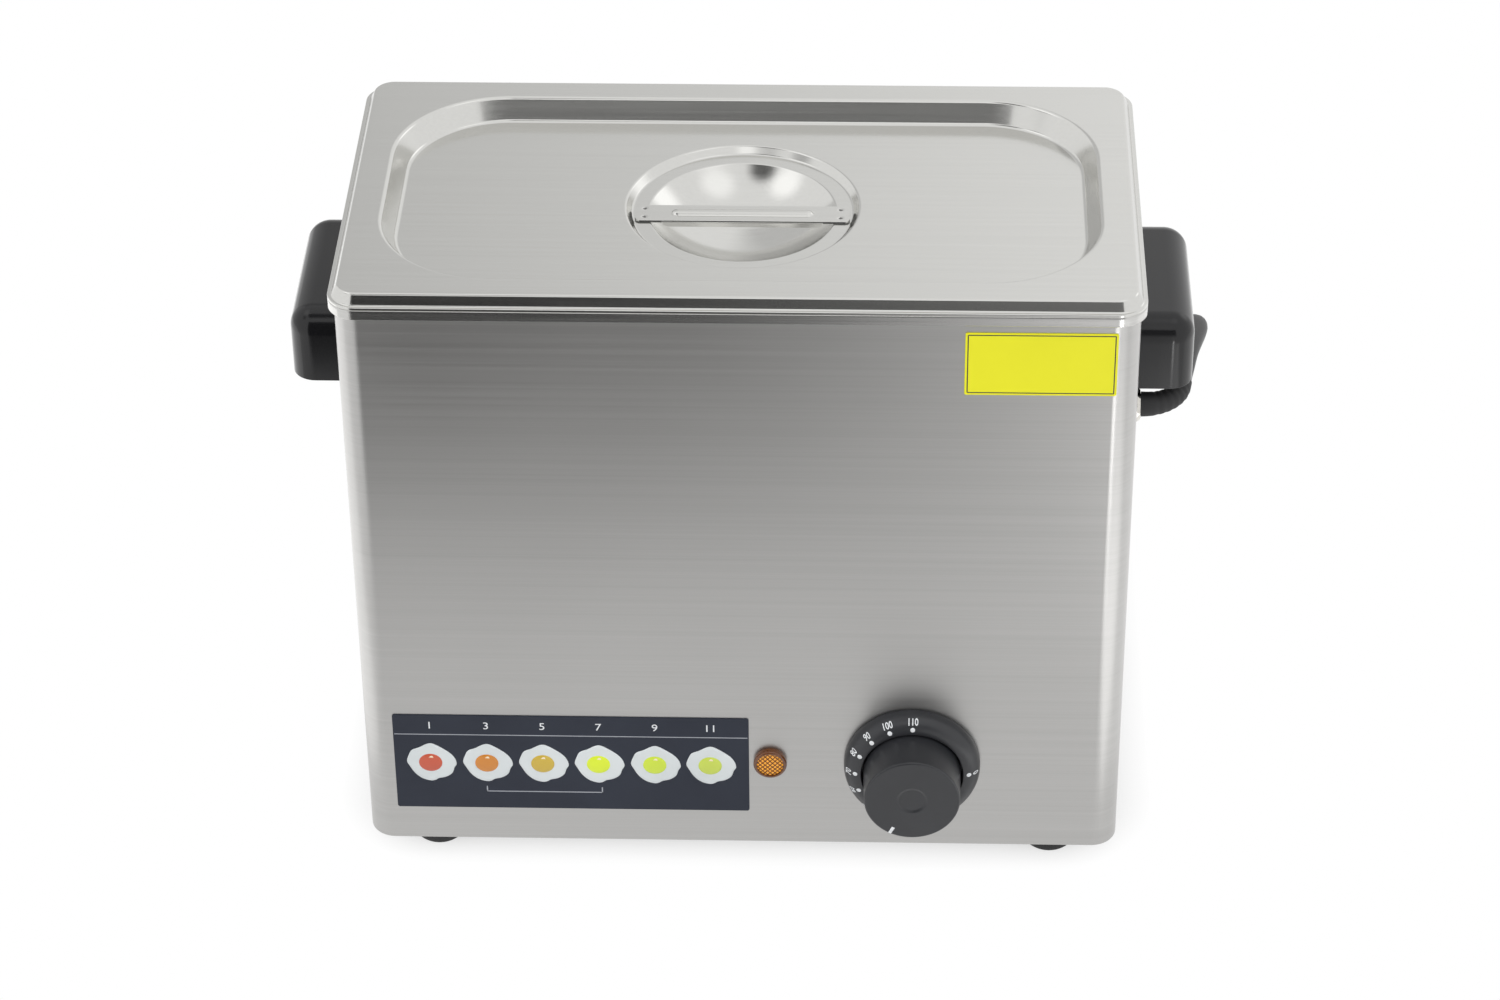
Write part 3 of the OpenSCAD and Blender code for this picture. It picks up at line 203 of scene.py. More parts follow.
# dark and light colour, roughness, grain and its depth, then waves, anisotropy and broad grain
STEELS = {
    "casing_steel": ((0.44, 0.435, 0.425), (0.50, 0.495, 0.485), 0.33, (3, 3, 2600), 2e-6,
                     0.0, 0.5, (2, 2, 420)),
    "tank_steel": ((0.56, 0.555, 0.54), (0.62, 0.615, 0.60), 0.20, (9, 9, 1100), 4e-6),
    "lid_steel": ((0.640, 0.637, 0.615), (0.664, 0.661, 0.639), 0.15, (6, 900, 900), 8e-7, 5e-5),
    # dark steel: painted shade on the strap's tab edges, also used for its darker spot welds
    "weld_and_edge_shade_steel": ((0.16, 0.16, 0.155), (0.24, 0.24, 0.235), 0.45, (600, 600, 600), 4e-6),
    "plain_steel": ((0.56, 0.56, 0.55), (0.60, 0.60, 0.59), 0.26, (30, 30, 900), 3e-6),
    "zinc_steel": ((0.52, 0.53, 0.54), (0.68, 0.69, 0.69), 0.3, (700, 700, 700), 3e-5),
    "element_steel": ((0.30, 0.29, 0.28), (0.46, 0.45, 0.44), 0.34, (400, 400, 400), 3e-5),
    "brass": ((0.60, 0.43, 0.17), (0.72, 0.54, 0.25), 0.24, (500, 500, 500), 2e-5),
    "nickel": ((0.60, 0.58, 0.54), (0.72, 0.70, 0.66), 0.16, (600, 600, 600), 1e-5),
    "copper": ((0.60, 0.26, 0.14), (0.76, 0.38, 0.22), 0.26, (400, 400, 400), 2e-5),
}
# dark and light colour and roughness, then specks and their depth, coat and shine
PLASTICS = {
    "rubber_black": ((0.012, 0.012, 0.013), (0.022, 0.022, 0.023), 0.62),
    "gasket_rubber": ((0.19, 0.035, 0.022), (0.26, 0.05, 0.03), 0.55),
    "gloss_black": ((0.005, 0.005, 0.006), (0.008, 0.008, 0.009), 0.14, 900.0, 6e-6, 0.0, 0.45),
    "knob_black": ((0.022, 0.023, 0.026), (0.029, 0.030, 0.034), 0.31, 3000.0),
    "white_plastic": ((0.72, 0.70, 0.65), (0.80, 0.78, 0.72), 0.35),
    "beige_plastic": ((0.62, 0.56, 0.44), (0.70, 0.64, 0.52), 0.45),
    "dark_plastic": ((0.022, 0.022, 0.023), (0.035, 0.035, 0.036), 0.42),
    "wire_brown": ((0.16, 0.06, 0.025), (0.22, 0.09, 0.04), 0.45),
    "cord_black": ((0.016, 0.016, 0.017), (0.026, 0.026, 0.027), 0.46, 1800.0, 3e-5),
    "chart_grey": ((0.026, 0.030, 0.043), (0.032, 0.037, 0.052), 0.40, 2600.0, 1e-5, 0.0, 0.16),
    "tag_yellow": ((0.84, 0.81, 0.006), (0.88, 0.85, 0.008), 0.42, 2000.0, 1e-5, 0.0, 0.3),
    "print_white": ((0.74, 0.76, 0.78), (0.80, 0.82, 0.84), 0.4),
    "print_grey": ((0.34, 0.36, 0.40), (0.40, 0.42, 0.46), 0.4),
    "lens_rim": ((0.085, 0.024, 0.003), (0.13, 0.038, 0.005), 0.2, 900.0, 1e-5, 0.6),
    "egg_white": ((0.62, 0.66, 0.67), (0.70, 0.74, 0.75), 0.35),
    # a pale patch on top of each egg white: painted highlight
    "painted_white_highlight": ((0.76, 0.82, 0.88), (0.84, 0.90, 0.95), 0.3),
    # a pale spot on each yolk: painted highlight
    "painted_yolk_highlight": ((0.85, 0.72, 0.50), (0.92, 0.80, 0.60), 0.25),
}
YOLKS = ((0.50, 0.075, 0.030), (0.56, 0.200, 0.018), (0.52, 0.36, 0.035), (0.62, 0.74, 0.012),
         (0.55, 0.68, 0.035), (0.52, 0.62, 0.07))
for number, dark in enumerate(YOLKS):
    light = tuple(min(1.0, c * 1.15) for c in dark)
    PLASTICS[f"yolk_{number + 1}"] = (dark, light, 0.25, 900.0, 1e-5, 0.4)

MATS = {name: steel(name, *look) for name, look in STEELS.items()}
MATS.update({name: plastic(name, *look) for name, look in PLASTICS.items()})
MATS["lens_amber"] = amber()


# ---------- mesh helpers

CORNER = 23  # steps in each corner of an outline
ROUND = 4 * (CORNER + 1)  # points of an outline


def make(name, verts, faces, slot, body="boiler", angle=35, material=None):
    """A piece from points in millimetres and faces, turned outwards and shaded smooth."""
    mesh = bpy.data.meshes.new(name)
    mesh.from_pydata([at(*v) for v in verts], [], faces)
    bm = bmesh.new()
    bm.from_mesh(mesh)
    bmesh.ops.remove_doubles(bm, verts=bm.verts, dist=1e-6)
    bmesh.ops.dissolve_degenerate(bm, edges=bm.edges, dist=1e-7)
    bmesh.ops.recalc_face_normals(bm, faces=bm.faces)
    bm.to_mesh(mesh)
    bm.free()
    mesh.materials.append(MATS[material or slot])
    obj = put(name, mesh)
    smooth(obj, angle)
    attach(obj, body)
    return obj


def smooth(obj, angle):
    """Shades smooth up to an angle, and flat faces stay flat beside their bends."""
    obj.data.shade_smooth()
    obj.data.set_sharp_from_angle(angle=radians(angle))
    mod = obj.modifiers.new("normals", "WEIGHTED_NORMAL")
    mod.keep_sharp = True
    mod.weight = 90


def loft(loops, closed=True, capped=False, wrap=False):
    """Points and faces that join loops of equal length one after another."""
    n = len(loops[0])
    verts = [p for loop in loops for p in loop]
    faces = []
    for i in range(len(loops) if wrap else len(loops) - 1):
        a, b = i * n, (i + 1) % len(loops) * n
        for k in range(n if closed else n - 1):
            j = (k + 1) % n
            faces.append((a + k, a + j, b + j, b + k))
    if capped:
        faces += [tuple(range(n - 1, -1, -1)), tuple(range(len(verts) - n, len(verts)))]
    return verts, faces


def join(*parts):
    """Several (points, faces) pairs as one."""
    verts, faces = [], []
    for v, f in parts:
        base = len(verts)
        verts += v
        faces += [tuple(i + base for i in face) for face in f]
    return verts, faces


def rect_loop(w, d, r, z, steps=CORNER):
    """A rectangle with rounded corners, at a height."""
    points = []
    for k, (sx, sy) in enumerate(((1, 1), (-1, 1), (-1, -1), (1, -1))):
        points += arc(sx * (w / 2 - r), sy * (d / 2 - r), r, 90 * k, 90 * k + 90, steps)
    return [(x, y, z) for x, y in points]


def circle_loop(r, z):
    """A circle whose points stand opposite those of rect_loop."""
    return [(r * cos(tau * (i + 0.5) / ROUND), r * sin(tau * (i + 0.5) / ROUND), z) for i in range(ROUND)]


def arc(cx, cy, r, start, stop, steps):
    """Points on an arc in the profile plane, angles in degrees."""
    turns = [radians(start + (stop - start) * i / steps) for i in range(steps + 1)]
    return [(cx + r * cos(a), cy + r * sin(a)) for a in turns]


def offset(points, t):
    """A profile moved sideways by t, to its right."""
    moved = []
    for i, p in enumerate(points):
        a = points[max(i - 1, 0)]
        b = points[min(i + 1, len(points) - 1)]
        dx, dy = b[0] - a[0], b[1] - a[1]
        size = hypot(dx, dy) or 1.0
        moved.append((p[0] + t * dy / size, p[1] - t * dx / size))
    return moved


def turned(profile, axis_point, axis, n=96, wrap=False):
    """A profile of (radius, height) points turned about an axis through a point."""
    o = Vector(axis_point)
    w = Vector(axis).normalized()
    u = w.orthogonal().normalized()
    v = w.cross(u)
    loops = [[tuple(o + w * h + r * (u * cos(tau * i / n) + v * sin(tau * i / n))) for i in range(n)]
             for r, h in profile]
    return loft(loops, capped=not wrap, wrap=wrap)


def shell(outer, inner, closed=True):
    """Two stacks of loops as one sheet: joined at the far ends, closed by flat faces where they meet."""
    verts, faces = loft(outer + inner, closed=closed, wrap=True)
    n, last = len(outer[0]), len(outer) - 1
    # in place of the strip from one stack to the next
    faces = [f for f in faces if not (f[0] // n == last and f[2] // n == last + 1)]
    faces.append(tuple(last * n + i for i in range(n)))
    faces.append(tuple((last + 1) * n + i for i in range(n - 1, -1, -1)))
    return verts, faces


def dish(loops, tip):
    """Loops closed by a fan of faces round a last point."""
    verts, faces = loft(loops)
    end, n = len(verts), len(loops[0])
    return verts + [tip], faces + [(end - n + i, end - n + (i + 1) % n, end) for i in range(n)]


def tube(points, radii, ring=24):
    """A round tube along points, one radius for each."""
    pts = [Vector(p) for p in points]
    heads = [(pts[min(i + 1, len(pts) - 1)] - pts[max(i - 1, 0)]).normalized() for i in range(len(pts))]
    side = heads[0].cross(Vector((0, 0, 1)))
    if side.length < 0.1:
        side = heads[0].cross(Vector((0, 1, 0)))
    loops = []
    for p, t, r in zip(pts, heads, radii):
        side = (side - side.dot(t) * t).normalized()
        up = t.cross(side)
        loops.append([tuple(p + r * (side * cos(tau * k / ring) + up * sin(tau * k / ring)))
                      for k in range(ring)])
    return loft(loops, capped=True)


def cut(obj, *cutters):
    """Cuts round holes: each cutter is (centre, axis, radius, length)."""
    obj.modifiers.clear()
    for centre, axis, radius, length in cutters:
        verts, faces = turned([(radius, -length / 2), (radius, length / 2)], centre, axis, 48)
        mesh = bpy.data.meshes.new("cutter")
        mesh.from_pydata([at(*v) for v in verts], [], faces)
        tool = put("cutter", mesh)
        mod = obj.modifiers.new("hole", "BOOLEAN")
        mod.object = tool
        mod.solver = "EXACT"
        whole, drilled = obj.data, finished_mesh(obj)
        obj.modifiers.clear()
        obj.data = drilled
        bpy.data.objects.remove(tool)
        for old in (whole, mesh):
            bpy.data.meshes.remove(old)
    smooth(obj, 35)


def finished_mesh(obj):
    """A mesh of the object with its modifiers applied."""
    bpy.context.view_layer.update()
    return bpy.data.meshes.new_from_object(obj.evaluated_get(bpy.context.evaluated_depsgraph_get()))


# ---------- sizes of the object

RIM = (325.0, 176.0, 12.0)  # an outline's width, depth and corner radius
CASING = (320.6, 171.6, 11.0)
TANK = (300.0, 151.0, 50.0)
RECESS = (292.0, 143.0, 47.0)
CASING_Z, CASING_TOP = 11.0, 281.0
FLOOR_Z, FLOOR_BEND = 102.0, 12
RIM_Z = 282.0
LID_TOP = 287.4
RECESS_Z = 278.4
RING_Z = 275.4
FRONT = -85.8
SIDE = 160.3
DIAL = (72.3, FRONT, 55.5)
DIAL_SCREWS = 14
LAMP = (12.3, FRONT, 55.5)
EXIT = (164.3, -37.0, 207.0)
PLUG = (-58.2, 124.8, 18.0)
GRIP_SCREWS, GRIP_SCREW_Z = 25, 233
BASE_SCREWS = [p for s in (-1, 1)
               for p in ((-100.3, s * 81.8), (0, s * 81.8), (100.3, s * 81.8), (s * 156.3, 0))]


def inset(outline, t, z):
    """An outline drawn t further in, at a height."""
    w, d, r = outline
    return rect_loop(w - 2 * t, d - 2 * t, max(r - t, 0.05), z)


def insets(outline, places):
    return [inset(outline, t, z) for t, z in places]


# ---------- mains lead

CORD_D = 7.2
COIL = (40.0, 176.0)
COIL_PITCH = 8.1
COIL_R = 32.0
COIL_LOW, COIL_HIGH = 3.8, 11.9
COIL_TURNS = 2
COIL_OUT = COIL_R + COIL_PITCH * COIL_TURNS
COIL_RINGS = 24  # points in each turn
BOOT_TURN = radians(78)
BOOT_R = 16.0
BOOT_AIM = Vector((cos(BOOT_TURN), sin(BOOT_TURN), 0))


def boot_points(steps=24):
    """The cord's line inside the strain relief: a bend backwards between two straight ends."""
    pts = [EXIT]
    for i in range(steps + 1):
        a = BOOT_TURN * i / steps
        pts.append((EXIT[0] + 1.5 + BOOT_R * sin(a), EXIT[1] + BOOT_R * (1 - cos(a)), EXIT[2]))
    return pts + [tuple(Vector(pts[-1]) + 4 * BOOT_AIM)]


def coil_point(r, degrees_round, z):
    a = radians(degrees_round)
    return COIL[0] + r * cos(a), COIL[1] + r * sin(a), z


def lead_points():
    """The free cord: behind the handle, down to the table, in and out through the coil and to the plug."""
    start = Vector(boot_points()[-1])
    pts = [tuple(start), tuple(start + 10 * BOOT_AIM)]
    pts += [(186, 1, 206.3), (189, 13, 205), (192, 25, 203), (193, 37, 199), (191, 49, 192),
            (186, 60, 183), (179, 71, 170), (171, 82, 154), (164.5, 91, 136), (159, 99, 116),
            (154, 105, 94), (149, 110, 73), (143, 114, 53), (135, 117.5, 36), (125.5, 120.3, 21.5),
            (115.5, 123.3, 11), (105.7, 127.4, 5.4), (96.6, 135, 4), (90.4, 145.8, COIL_LOW)]
    pts += [(COIL[0] + COIL_OUT, COIL[1] - y, COIL_LOW) for y in (17.2, 7.2)]
    steps = COIL_RINGS * COIL_TURNS
    for i in range(steps + 1):
        pts.append(coil_point(COIL_OUT - COIL_PITCH * i / COIL_RINGS, 360 * i / COIL_RINGS, COIL_LOW))
    # half a turn that climbs onto the lower layer
    for i in range(1, COIL_RINGS // 2 + 1):
        t = 2 * i / COIL_RINGS
        pts.append(coil_point(COIL_R - 0.1 * COIL_PITCH * sin(pi * t), 360 * i / COIL_RINGS,
                              COIL_LOW + (COIL_HIGH - COIL_LOW) * t))
    for i in range(1, steps + 1):
        pts.append(coil_point(COIL_R + COIL_PITCH * i / COIL_RINGS, 180 + 360 * i / COIL_RINGS, COIL_HIGH))
    last = Vector((COIL[0] - COIL_OUT, COIL[1] - 7.2, COIL_HIGH))
    pts += [tuple(last + Vector(p)) for p in ((0, 0, 0), (0, -10, 0), (-2.5, -22, 0.6),
                                              (-10.4, -33.6, 2.2), (-22, -41.4, 4.4))]
    return pts + [(PLUG[0] + 14, PLUG[1], PLUG[2]), PLUG]


def make_lead():
    data = bpy.data.curves.new("mains_cord", "CURVE")
    data.dimensions = "3D"
    data.bevel_depth = CORD_D / 2 * MM
    data.bevel_resolution = 6
    data.resolution_u = 4
    data.use_fill_caps = True
    line = data.splines.new("NURBS")
    pts = lead_points()
    line.points.add(len(pts) - 1)
    for p, co in zip(line.points, pts):
        p.co = (*at(*co), 1.0)
    line.order_u = 4
    line.use_endpoint_u = True
    data.materials.append(MATS["cord_black"])
    obj = put("mains_cord", data)
    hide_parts("mains_lead", "lead_coil", "lead_tail")
    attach(obj, "boiler")
    return obj


BOOT_STEPS = 110


def make_boot():
    """Strain relief: a tapered sleeve with flexing grooves, on the bend beside the gland."""
    pts = [Vector(p) for p in boot_points(40)]
    length = [0.0]
    for a, b in zip(pts, pts[1:]):
        length.append(length[-1] + (b - a).length)
    dense, radii = [], []
    for i in range(BOOT_STEPS + 1):
        s = length[-1] * i / BOOT_STEPS
        k = max(j for j in range(len(pts) - 1) if length[j] <= s + 1e-9)
        dense.append(pts[k].lerp(pts[k + 1], (s - length[k]) / (length[k + 1] - length[k])))
        groove = 0.5 * (1 - cos(tau * (s - 5) / 2.9)) if 5 < s < 22.4 else 0.0
        radii.append(5.2 - 1.1 * s / length[-1] - 0.18 * groove)
    boot = make("strain_relief", *tube(dense, radii, 32), "cord_black", angle=50, material="rubber_black")
    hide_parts("cord_boot")


def make_plug():
    """Round moulded plug with finger flats, a ribbed neck and a tapered end."""
    profile = [(0, 0), (16.6, 0)] + arc(16.8, 1.2, 1.2, -90, 0, 5) + arc(16.8, 14.5, 1.2, 0, 60, 4)
    profile += [(16.2, 18.0), (14.4, 21.4), (12.2, 25.0), (10.4, 28.4)]
    for i in range(5):
        h, r = 30.0 + 2.2 * i, 8.2 - 0.42 * i
        profile += [(r, h), (r, h + 1.2), (r - 0.9, h + 1.5), (r - 0.9, h + 1.9)]
    profile += [(5.6, 41.2), (5.2, 42.0), (0, 42.0)]
    verts, faces = turned(profile, (PLUG[0] - 42, PLUG[1], PLUG[2]), (1, 0, 0), 64)
    flattened = []
    for x, y, z in verts:
        reach = max(0.0, 1.0 - abs(x - (PLUG[0] - 33)) / 9.0)
        dy = y - PLUG[1]
        if abs(dy) > 12:
            dy *= 1 - 0.09 * min(1.0, reach * 2)
        flattened.append((x, PLUG[1] + dy, z))
    plug = make("plug_shell", flattened, faces, "cord_black", angle=30, material="rubber_black")
    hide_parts("plug_body")
    return plug


TIE_TURN = radians(128)
TIE_IN, TIE_OUT = 27.4, 52.8
TIE_LOW, TIE_HIGH = 0.12, 16.7
TIE_HALF = 6.0


def tie_points(along, profile):
    """Points of the tie, given along the cord and then as (distance from the coil's middle, height)."""
    out = Vector((cos(TIE_TURN), sin(TIE_TURN), 0))
    side = Vector((-sin(TIE_TURN), cos(TIE_TURN), 0))
    return [tuple(Vector((*COIL, h)) + out * r + side * along) for r, h in profile]


def tie_ring(grow):
    """The tie's outline across the cord's turns, grown outwards."""
    foot = 3.4 + min(grow, 0.1)
    pts = arc(TIE_OUT - 4.2, TIE_HIGH - 4.2, 4.2 + grow, 0, 90, 6)
    pts += arc(TIE_IN + 4.2, TIE_HIGH - 4.2, 4.2 + grow, 90, 180, 6)
    pts += arc(TIE_IN + 3.4, TIE_LOW + 3.4, foot, 180, 270, 6)
    return pts + arc(TIE_OUT - 3.4, TIE_LOW + 3.4, foot, 270, 360, 6)


def make_tie():
    """A hook-and-loop band round the coil's turns, with its end lapped over."""
    inner, outer = tie_ring(-0.9), tie_ring(0.0)
    edge = [(a + (c - a) * 0.45, b + (d - b) * 0.45) for (a, b), (c, d) in zip(inner, outer)]
    loops = [tie_points(off, line) for off, line in
             ((-TIE_HALF, edge), (-TIE_HALF + 0.4, outer), (TIE_HALF - 0.4, outer), (TIE_HALF, edge),
              (TIE_HALF - 0.2, inner), (-TIE_HALF + 0.2, inner))]
    lap = []
    for x in range(15):
        r = TIE_IN + 6 + x
        half = TIE_HALF * (0.5 + 0.5 * sqrt(min(1.0, (15 - x) / 4.0)))
        lap.append([tie_points(s * half, [(r, TIE_HIGH + h)])[0]
                    for s, h in ((-1, -0.1), (-1, 0.7), (1, 0.7), (1, -0.1))])
    return make("cord_tie", *join(loft(loops, wrap=True), loft(lap, capped=True)),
                "rubber_black", angle=40)


cord = make_lead()
make_boot()
plug = make_plug()
tie = make_tie()
NODES["plug_pins"].data.materials.clear()
at(*boot_points()[-1])


# ---------- casing, tank and lid

def make_casing():
    bend = (1.4, CASING_Z + 1.4)
    places = [(0.15, CASING_TOP), (0.0, CASING_TOP - 0.15)] + arc(*bend, 1.4, -180, -90, 5)
    places += [(6.8, CASING_Z), (7.0, CASING_Z + 0.2), (7.0, CASING_Z + 0.9)]
    places += arc(*bend, 0.5, -180, -90, 3)[::-1] + [(0.9, CASING_TOP - 0.15), (0.8, CASING_TOP)]
    obj = make("casing_shell", *loft(insets(CASING, places), wrap=True), "casing_steel")
    holes = [(DIAL, (0, 1, 0), 5.05), (LAMP, (0, 1, 0), 5.75), ((SIDE, EXIT[1], EXIT[2]), (1, 0, 0), 5.75)]
    for s in (-1, 1):
        holes.append(((DIAL[0] + s * DIAL_SCREWS, FRONT, DIAL[2]), (0, 1, 0), 2.25))
        for y in (-GRIP_SCREWS, GRIP_SCREWS):
            holes.append(((s * SIDE, y, GRIP_SCREW_Z), (1, 0, 0), 2.25))
    holes += [((x, y, CASING_Z), (0, 0, 1), 1.75) for x, y in BASE_SCREWS]
    cut(obj, *((*hole, 6) for hole in holes))
    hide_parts("casing")


def make_tank():
    inside = insets(RIM, [(0.9, RIM_Z - 4.7), (0.15, RIM_Z - 4.7), (0.0, RIM_Z - 4.5)]
                    + arc(1.2, RIM_Z - 1.25, 1.2, 180, 90, 6))
    bend = (FLOOR_BEND, FLOOR_Z + FLOOR_BEND)
    inside += insets(TANK, arc(-0.9, RIM_Z - 0.95, 0.9, 90, 0, 4)
                     + arc(*bend, FLOOR_BEND, 180, 270, 8) + [(40, FLOOR_Z)])
    outside = insets(TANK, [(40, FLOOR_Z - 0.9)] + arc(*bend, FLOOR_BEND + 0.9, 180, 270, 8)[::-1]
                     + [(-0.9, RIM_Z - 2.0), (-1.8, RIM_Z - 0.95)])
    outside += insets(RIM, [(1.8, RIM_Z - 0.95), (0.95, RIM_Z - 1.8)])
    obj = make("tank_shell", *shell(inside, outside), "tank_steel")
    cut(obj, *(((x, y, FLOOR_Z - 0.5), (0, 0, 1), r, 6)
               for x, y, r in ((-110, 30, 7.25), (-110, -30, 7.25), (72, -50, 4.25))))
    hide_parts("tank")


BOWL_R, BOWL_DEPTH = 38.5, 16


def lid_profiles():
    """The lid's rim, the wall of its sunken panel, and its ring and bowl from the outside in."""
    slope = degrees(atan2(4.4, 2.5))
    half = tan(radians(slope / 2))
    rim = arc(1.5 - half, RIM_Z + 2.0, 1.0, -90, -90 + slope, 5)
    rim += arc(4.0 + 1.4 * half, LID_TOP - 1.4, 1.4, 90 + slope, 90, 6)
    fall = degrees(atan2(9, 5.5))
    half = 2 * tan(radians(fall / 2))
    wall = arc(-half, LID_TOP - 2, 2, 90, 90 - fall, 6) + arc(5.5 + half, RECESS_Z + 2, 2, 270 - fall, 270, 6)
    step = degrees(atan2(3, 2.5))
    half = 1.3 * tan(radians(step / 2))
    ring = arc(48 + half, RECESS_Z - 1.3, 1.3, 90, 90 + step, 4)
    ring += arc(45.5 - half, RING_Z + 1.3, 1.3, -90 + step, -90, 4)
    ball = (BOWL_R ** 2 + BOWL_DEPTH ** 2) / (2 * BOWL_DEPTH)
    edge = degrees(asin(BOWL_R / ball))
    ring += arc(BOWL_R + 1.2 * tan(radians(edge / 2)), RING_Z - 1.2, 1.2, 90, 89 + edge, 4)
    first = degrees(asin(37.6 / ball))
    return rim, wall, ring + arc(0, RING_Z - BOWL_DEPTH + ball, ball, -90 + first, -90, 18)[:-1]


def make_lid():
    rim, wall, ring = lid_profiles()

    def loops(t):
        round_loops = [circle_loop(-r, z) for r, z in offset([(-r, z) for r, z in ring], t)]
        return insets(RIM, offset(rim, t)) + insets(RECESS, offset(wall, t)) + round_loops

    lip = [(0.0, RIM_Z + 0.03)] + arc(0.45, RIM_Z + 0.55, 0.45, 180, 90, 3)
    top, under = insets(RIM, lip) + loops(0.0), loops(0.95)
    upper = dish(top, (0, 0, RING_Z - BOWL_DEPTH))
    verts, faces = dish(under, (0, 0, RING_Z - BOWL_DEPTH - 0.95))
    start, n = len(upper[0]), len(top[0])
    # the underside's faces look the other way, and a strip along the rim joins the two
    verts, faces = join(upper, (verts, [f[::-1] for f in faces]))
    faces += [(i, start + i, start + (i + 1) % n, (i + 1) % n) for i in range(n)]
    obj = make("lid_shell", verts, faces, "lid_steel", "lid", 50)
    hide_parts("lid")


STRAP_L, STRAP_W, STRAP_THICK = 88.0, 12.5, 1.0
STRAP_Y = -3.0
WELD_X, WELD_Y, WELD_R = 40.2, 3.2, 1.5


def strap_height(x, y):
    """How far the strap's top stands over its flat: a rounded rib, dimples at the welds and soft edges."""
    r = hypot(max(abs(x) - (57 / 2 - 1.8), 0.0), y)
    h = 1.17 * sqrt(max(0.0, 1 - (r / 2.1) ** 2)) if r < 2.1 else 0.0
    d = hypot(abs(x) - WELD_X, abs(y) - WELD_Y)
    if d < WELD_R:
        h -= 0.28 * (0.5 + 0.5 * cos(pi * d / WELD_R))
    edge = STRAP_W / 2 - abs(y)
    if edge < 0.5:
        h -= 0.5 - sqrt(max(0.0, 0.25 - (0.5 - edge) ** 2))
    return h


def make_strap():
    """Pressed strip across the bowl: rounded rib, folded front edge and spot-weld dimples."""
    nx, ny = 176, 32
    place = {}
    verts, faces = [], []
    for side in (0, 1):
        for i in range(nx + 1):
            x = -STRAP_L / 2 + STRAP_L * i / nx
            pull = max(0.0, 1 - (STRAP_L / 2 - abs(x)) / 2.0)
            half = STRAP_W / 2 - 2.0 * (1 - sqrt(max(0.0, 1 - pull ** 2)))
            for j in range(ny + 1):
                y = half * (2 * j / ny - 1)
                h = strap_height(x, y * (STRAP_W / 2) / half)
                z = RING_Z + (STRAP_THICK + h if side == 0 else max(h, 0.0) + 0.02)
                place[side, i, j] = len(verts)
                verts.append((x, STRAP_Y + y, z))

    def quad(*corners):
        faces.append(tuple(place[corner] for corner in corners))

    for i in range(nx):
        for j in range(ny):
            quad((0, i, j), (0, i + 1, j), (0, i + 1, j + 1), (0, i, j + 1))
            quad((1, i, j), (1, i, j + 1), (1, i + 1, j + 1), (1, i + 1, j))
    for i in range(nx):
        for j in (0, ny):
            quad((0, i, j), (0, i + 1, j), (1, i + 1, j), (1, i, j))
    for j in range(ny):
        for i in (0, nx):
            quad((0, i, j), (0, i, j + 1), (1, i, j + 1), (1, i, j))
    # the fold hangs from the front edge
    outline = [(0.9, 1.0)] + arc(0.9, 0.1, 0.9, 90, 180, 5)
    outline += [(0.0, -1.9), (0.2, -2.0), (0.8, -2.0), (1.0, -1.8), (1.0, 0.0)]
    fold = []
    for i in range(41):
        x = -32.5 + 65 * i / 40
        low = 1 - 0.45 * max(0.0, 1 - (32.5 - abs(x)) / 2.5) ** 2
        fold.append([(x, STRAP_Y - STRAP_W / 2 + u, RING_Z + (v if v > 0 else v * low)) for u, v in outline])
    strap = make("strap", *join((verts, faces), loft(fold, capped=True)),
                 "lid_steel", "lid", 40)
    # the end tabs' edges are darkened as painted shade, for the crevice under them, and the small spot welds
    # are darker too
    strap.data.materials.append(MATS["weld_and_edge_shade_steel"])
    for face in strap.data.polygons:
        x = abs(face.center.x / MM)
        y = abs(face.center.y / MM - SHIFT_Y - STRAP_Y)
        if (abs(face.normal.z) < 0.45 and x > 32.8) or hypot(x - WELD_X, y - WELD_Y) < 0.75:
            face.material_index = 1
    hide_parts("lid_strap")


def make_base_screws():
    """Low heads with a round recess, just under the bottom flange."""
    head = [(0, 1.0), (1.1, 1.0), (1.2, 0.0), (2.3, 0.0), (2.7, 0.12), (2.75, 0.3), (1.5, 0.32), (1.5, 5.2),
            (0, 5.3)]
    parts = [turned(head, (x, y, CASING_Z - 0.3), (0, 0, 1), 32) for x, y in BASE_SCREWS]
    screws = make("base_screw_heads", *join(*parts), "zinc_steel", angle=30)
    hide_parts("base_screws")


make_casing()
make_base_screws()
make_tank()
make_lid()
make_strap()


# ---------- carrying handles

GRIP_HALF, GRIP_OUT = 41.0, 25.0
GRIP_LOW, GRIP_TOP = 217.0, 249.0
GRIP_R, GRIP_WALL = 10.0, 2.6
RIB_Z = (237.2, 246.8)


def handle_loop(t, z):
    """Open outline of a handle, t further in: from the casing out, along the front and back again."""
    half, out, r = GRIP_HALF - t, GRIP_OUT - t, max(GRIP_R - t, 0.02)
    pts = [(0.0, -half), (out * 0.4, -half)] + arc(out - r, -half + r, r, -90, 0, 12)
    pts += [(out, -half * 0.4), (out, half * 0.4)] + arc(out - r, half - r, r, 0, 90, 12)
    return [(x, y, z) for x, y in pts + [(out * 0.4, half), (0.0, half)]]


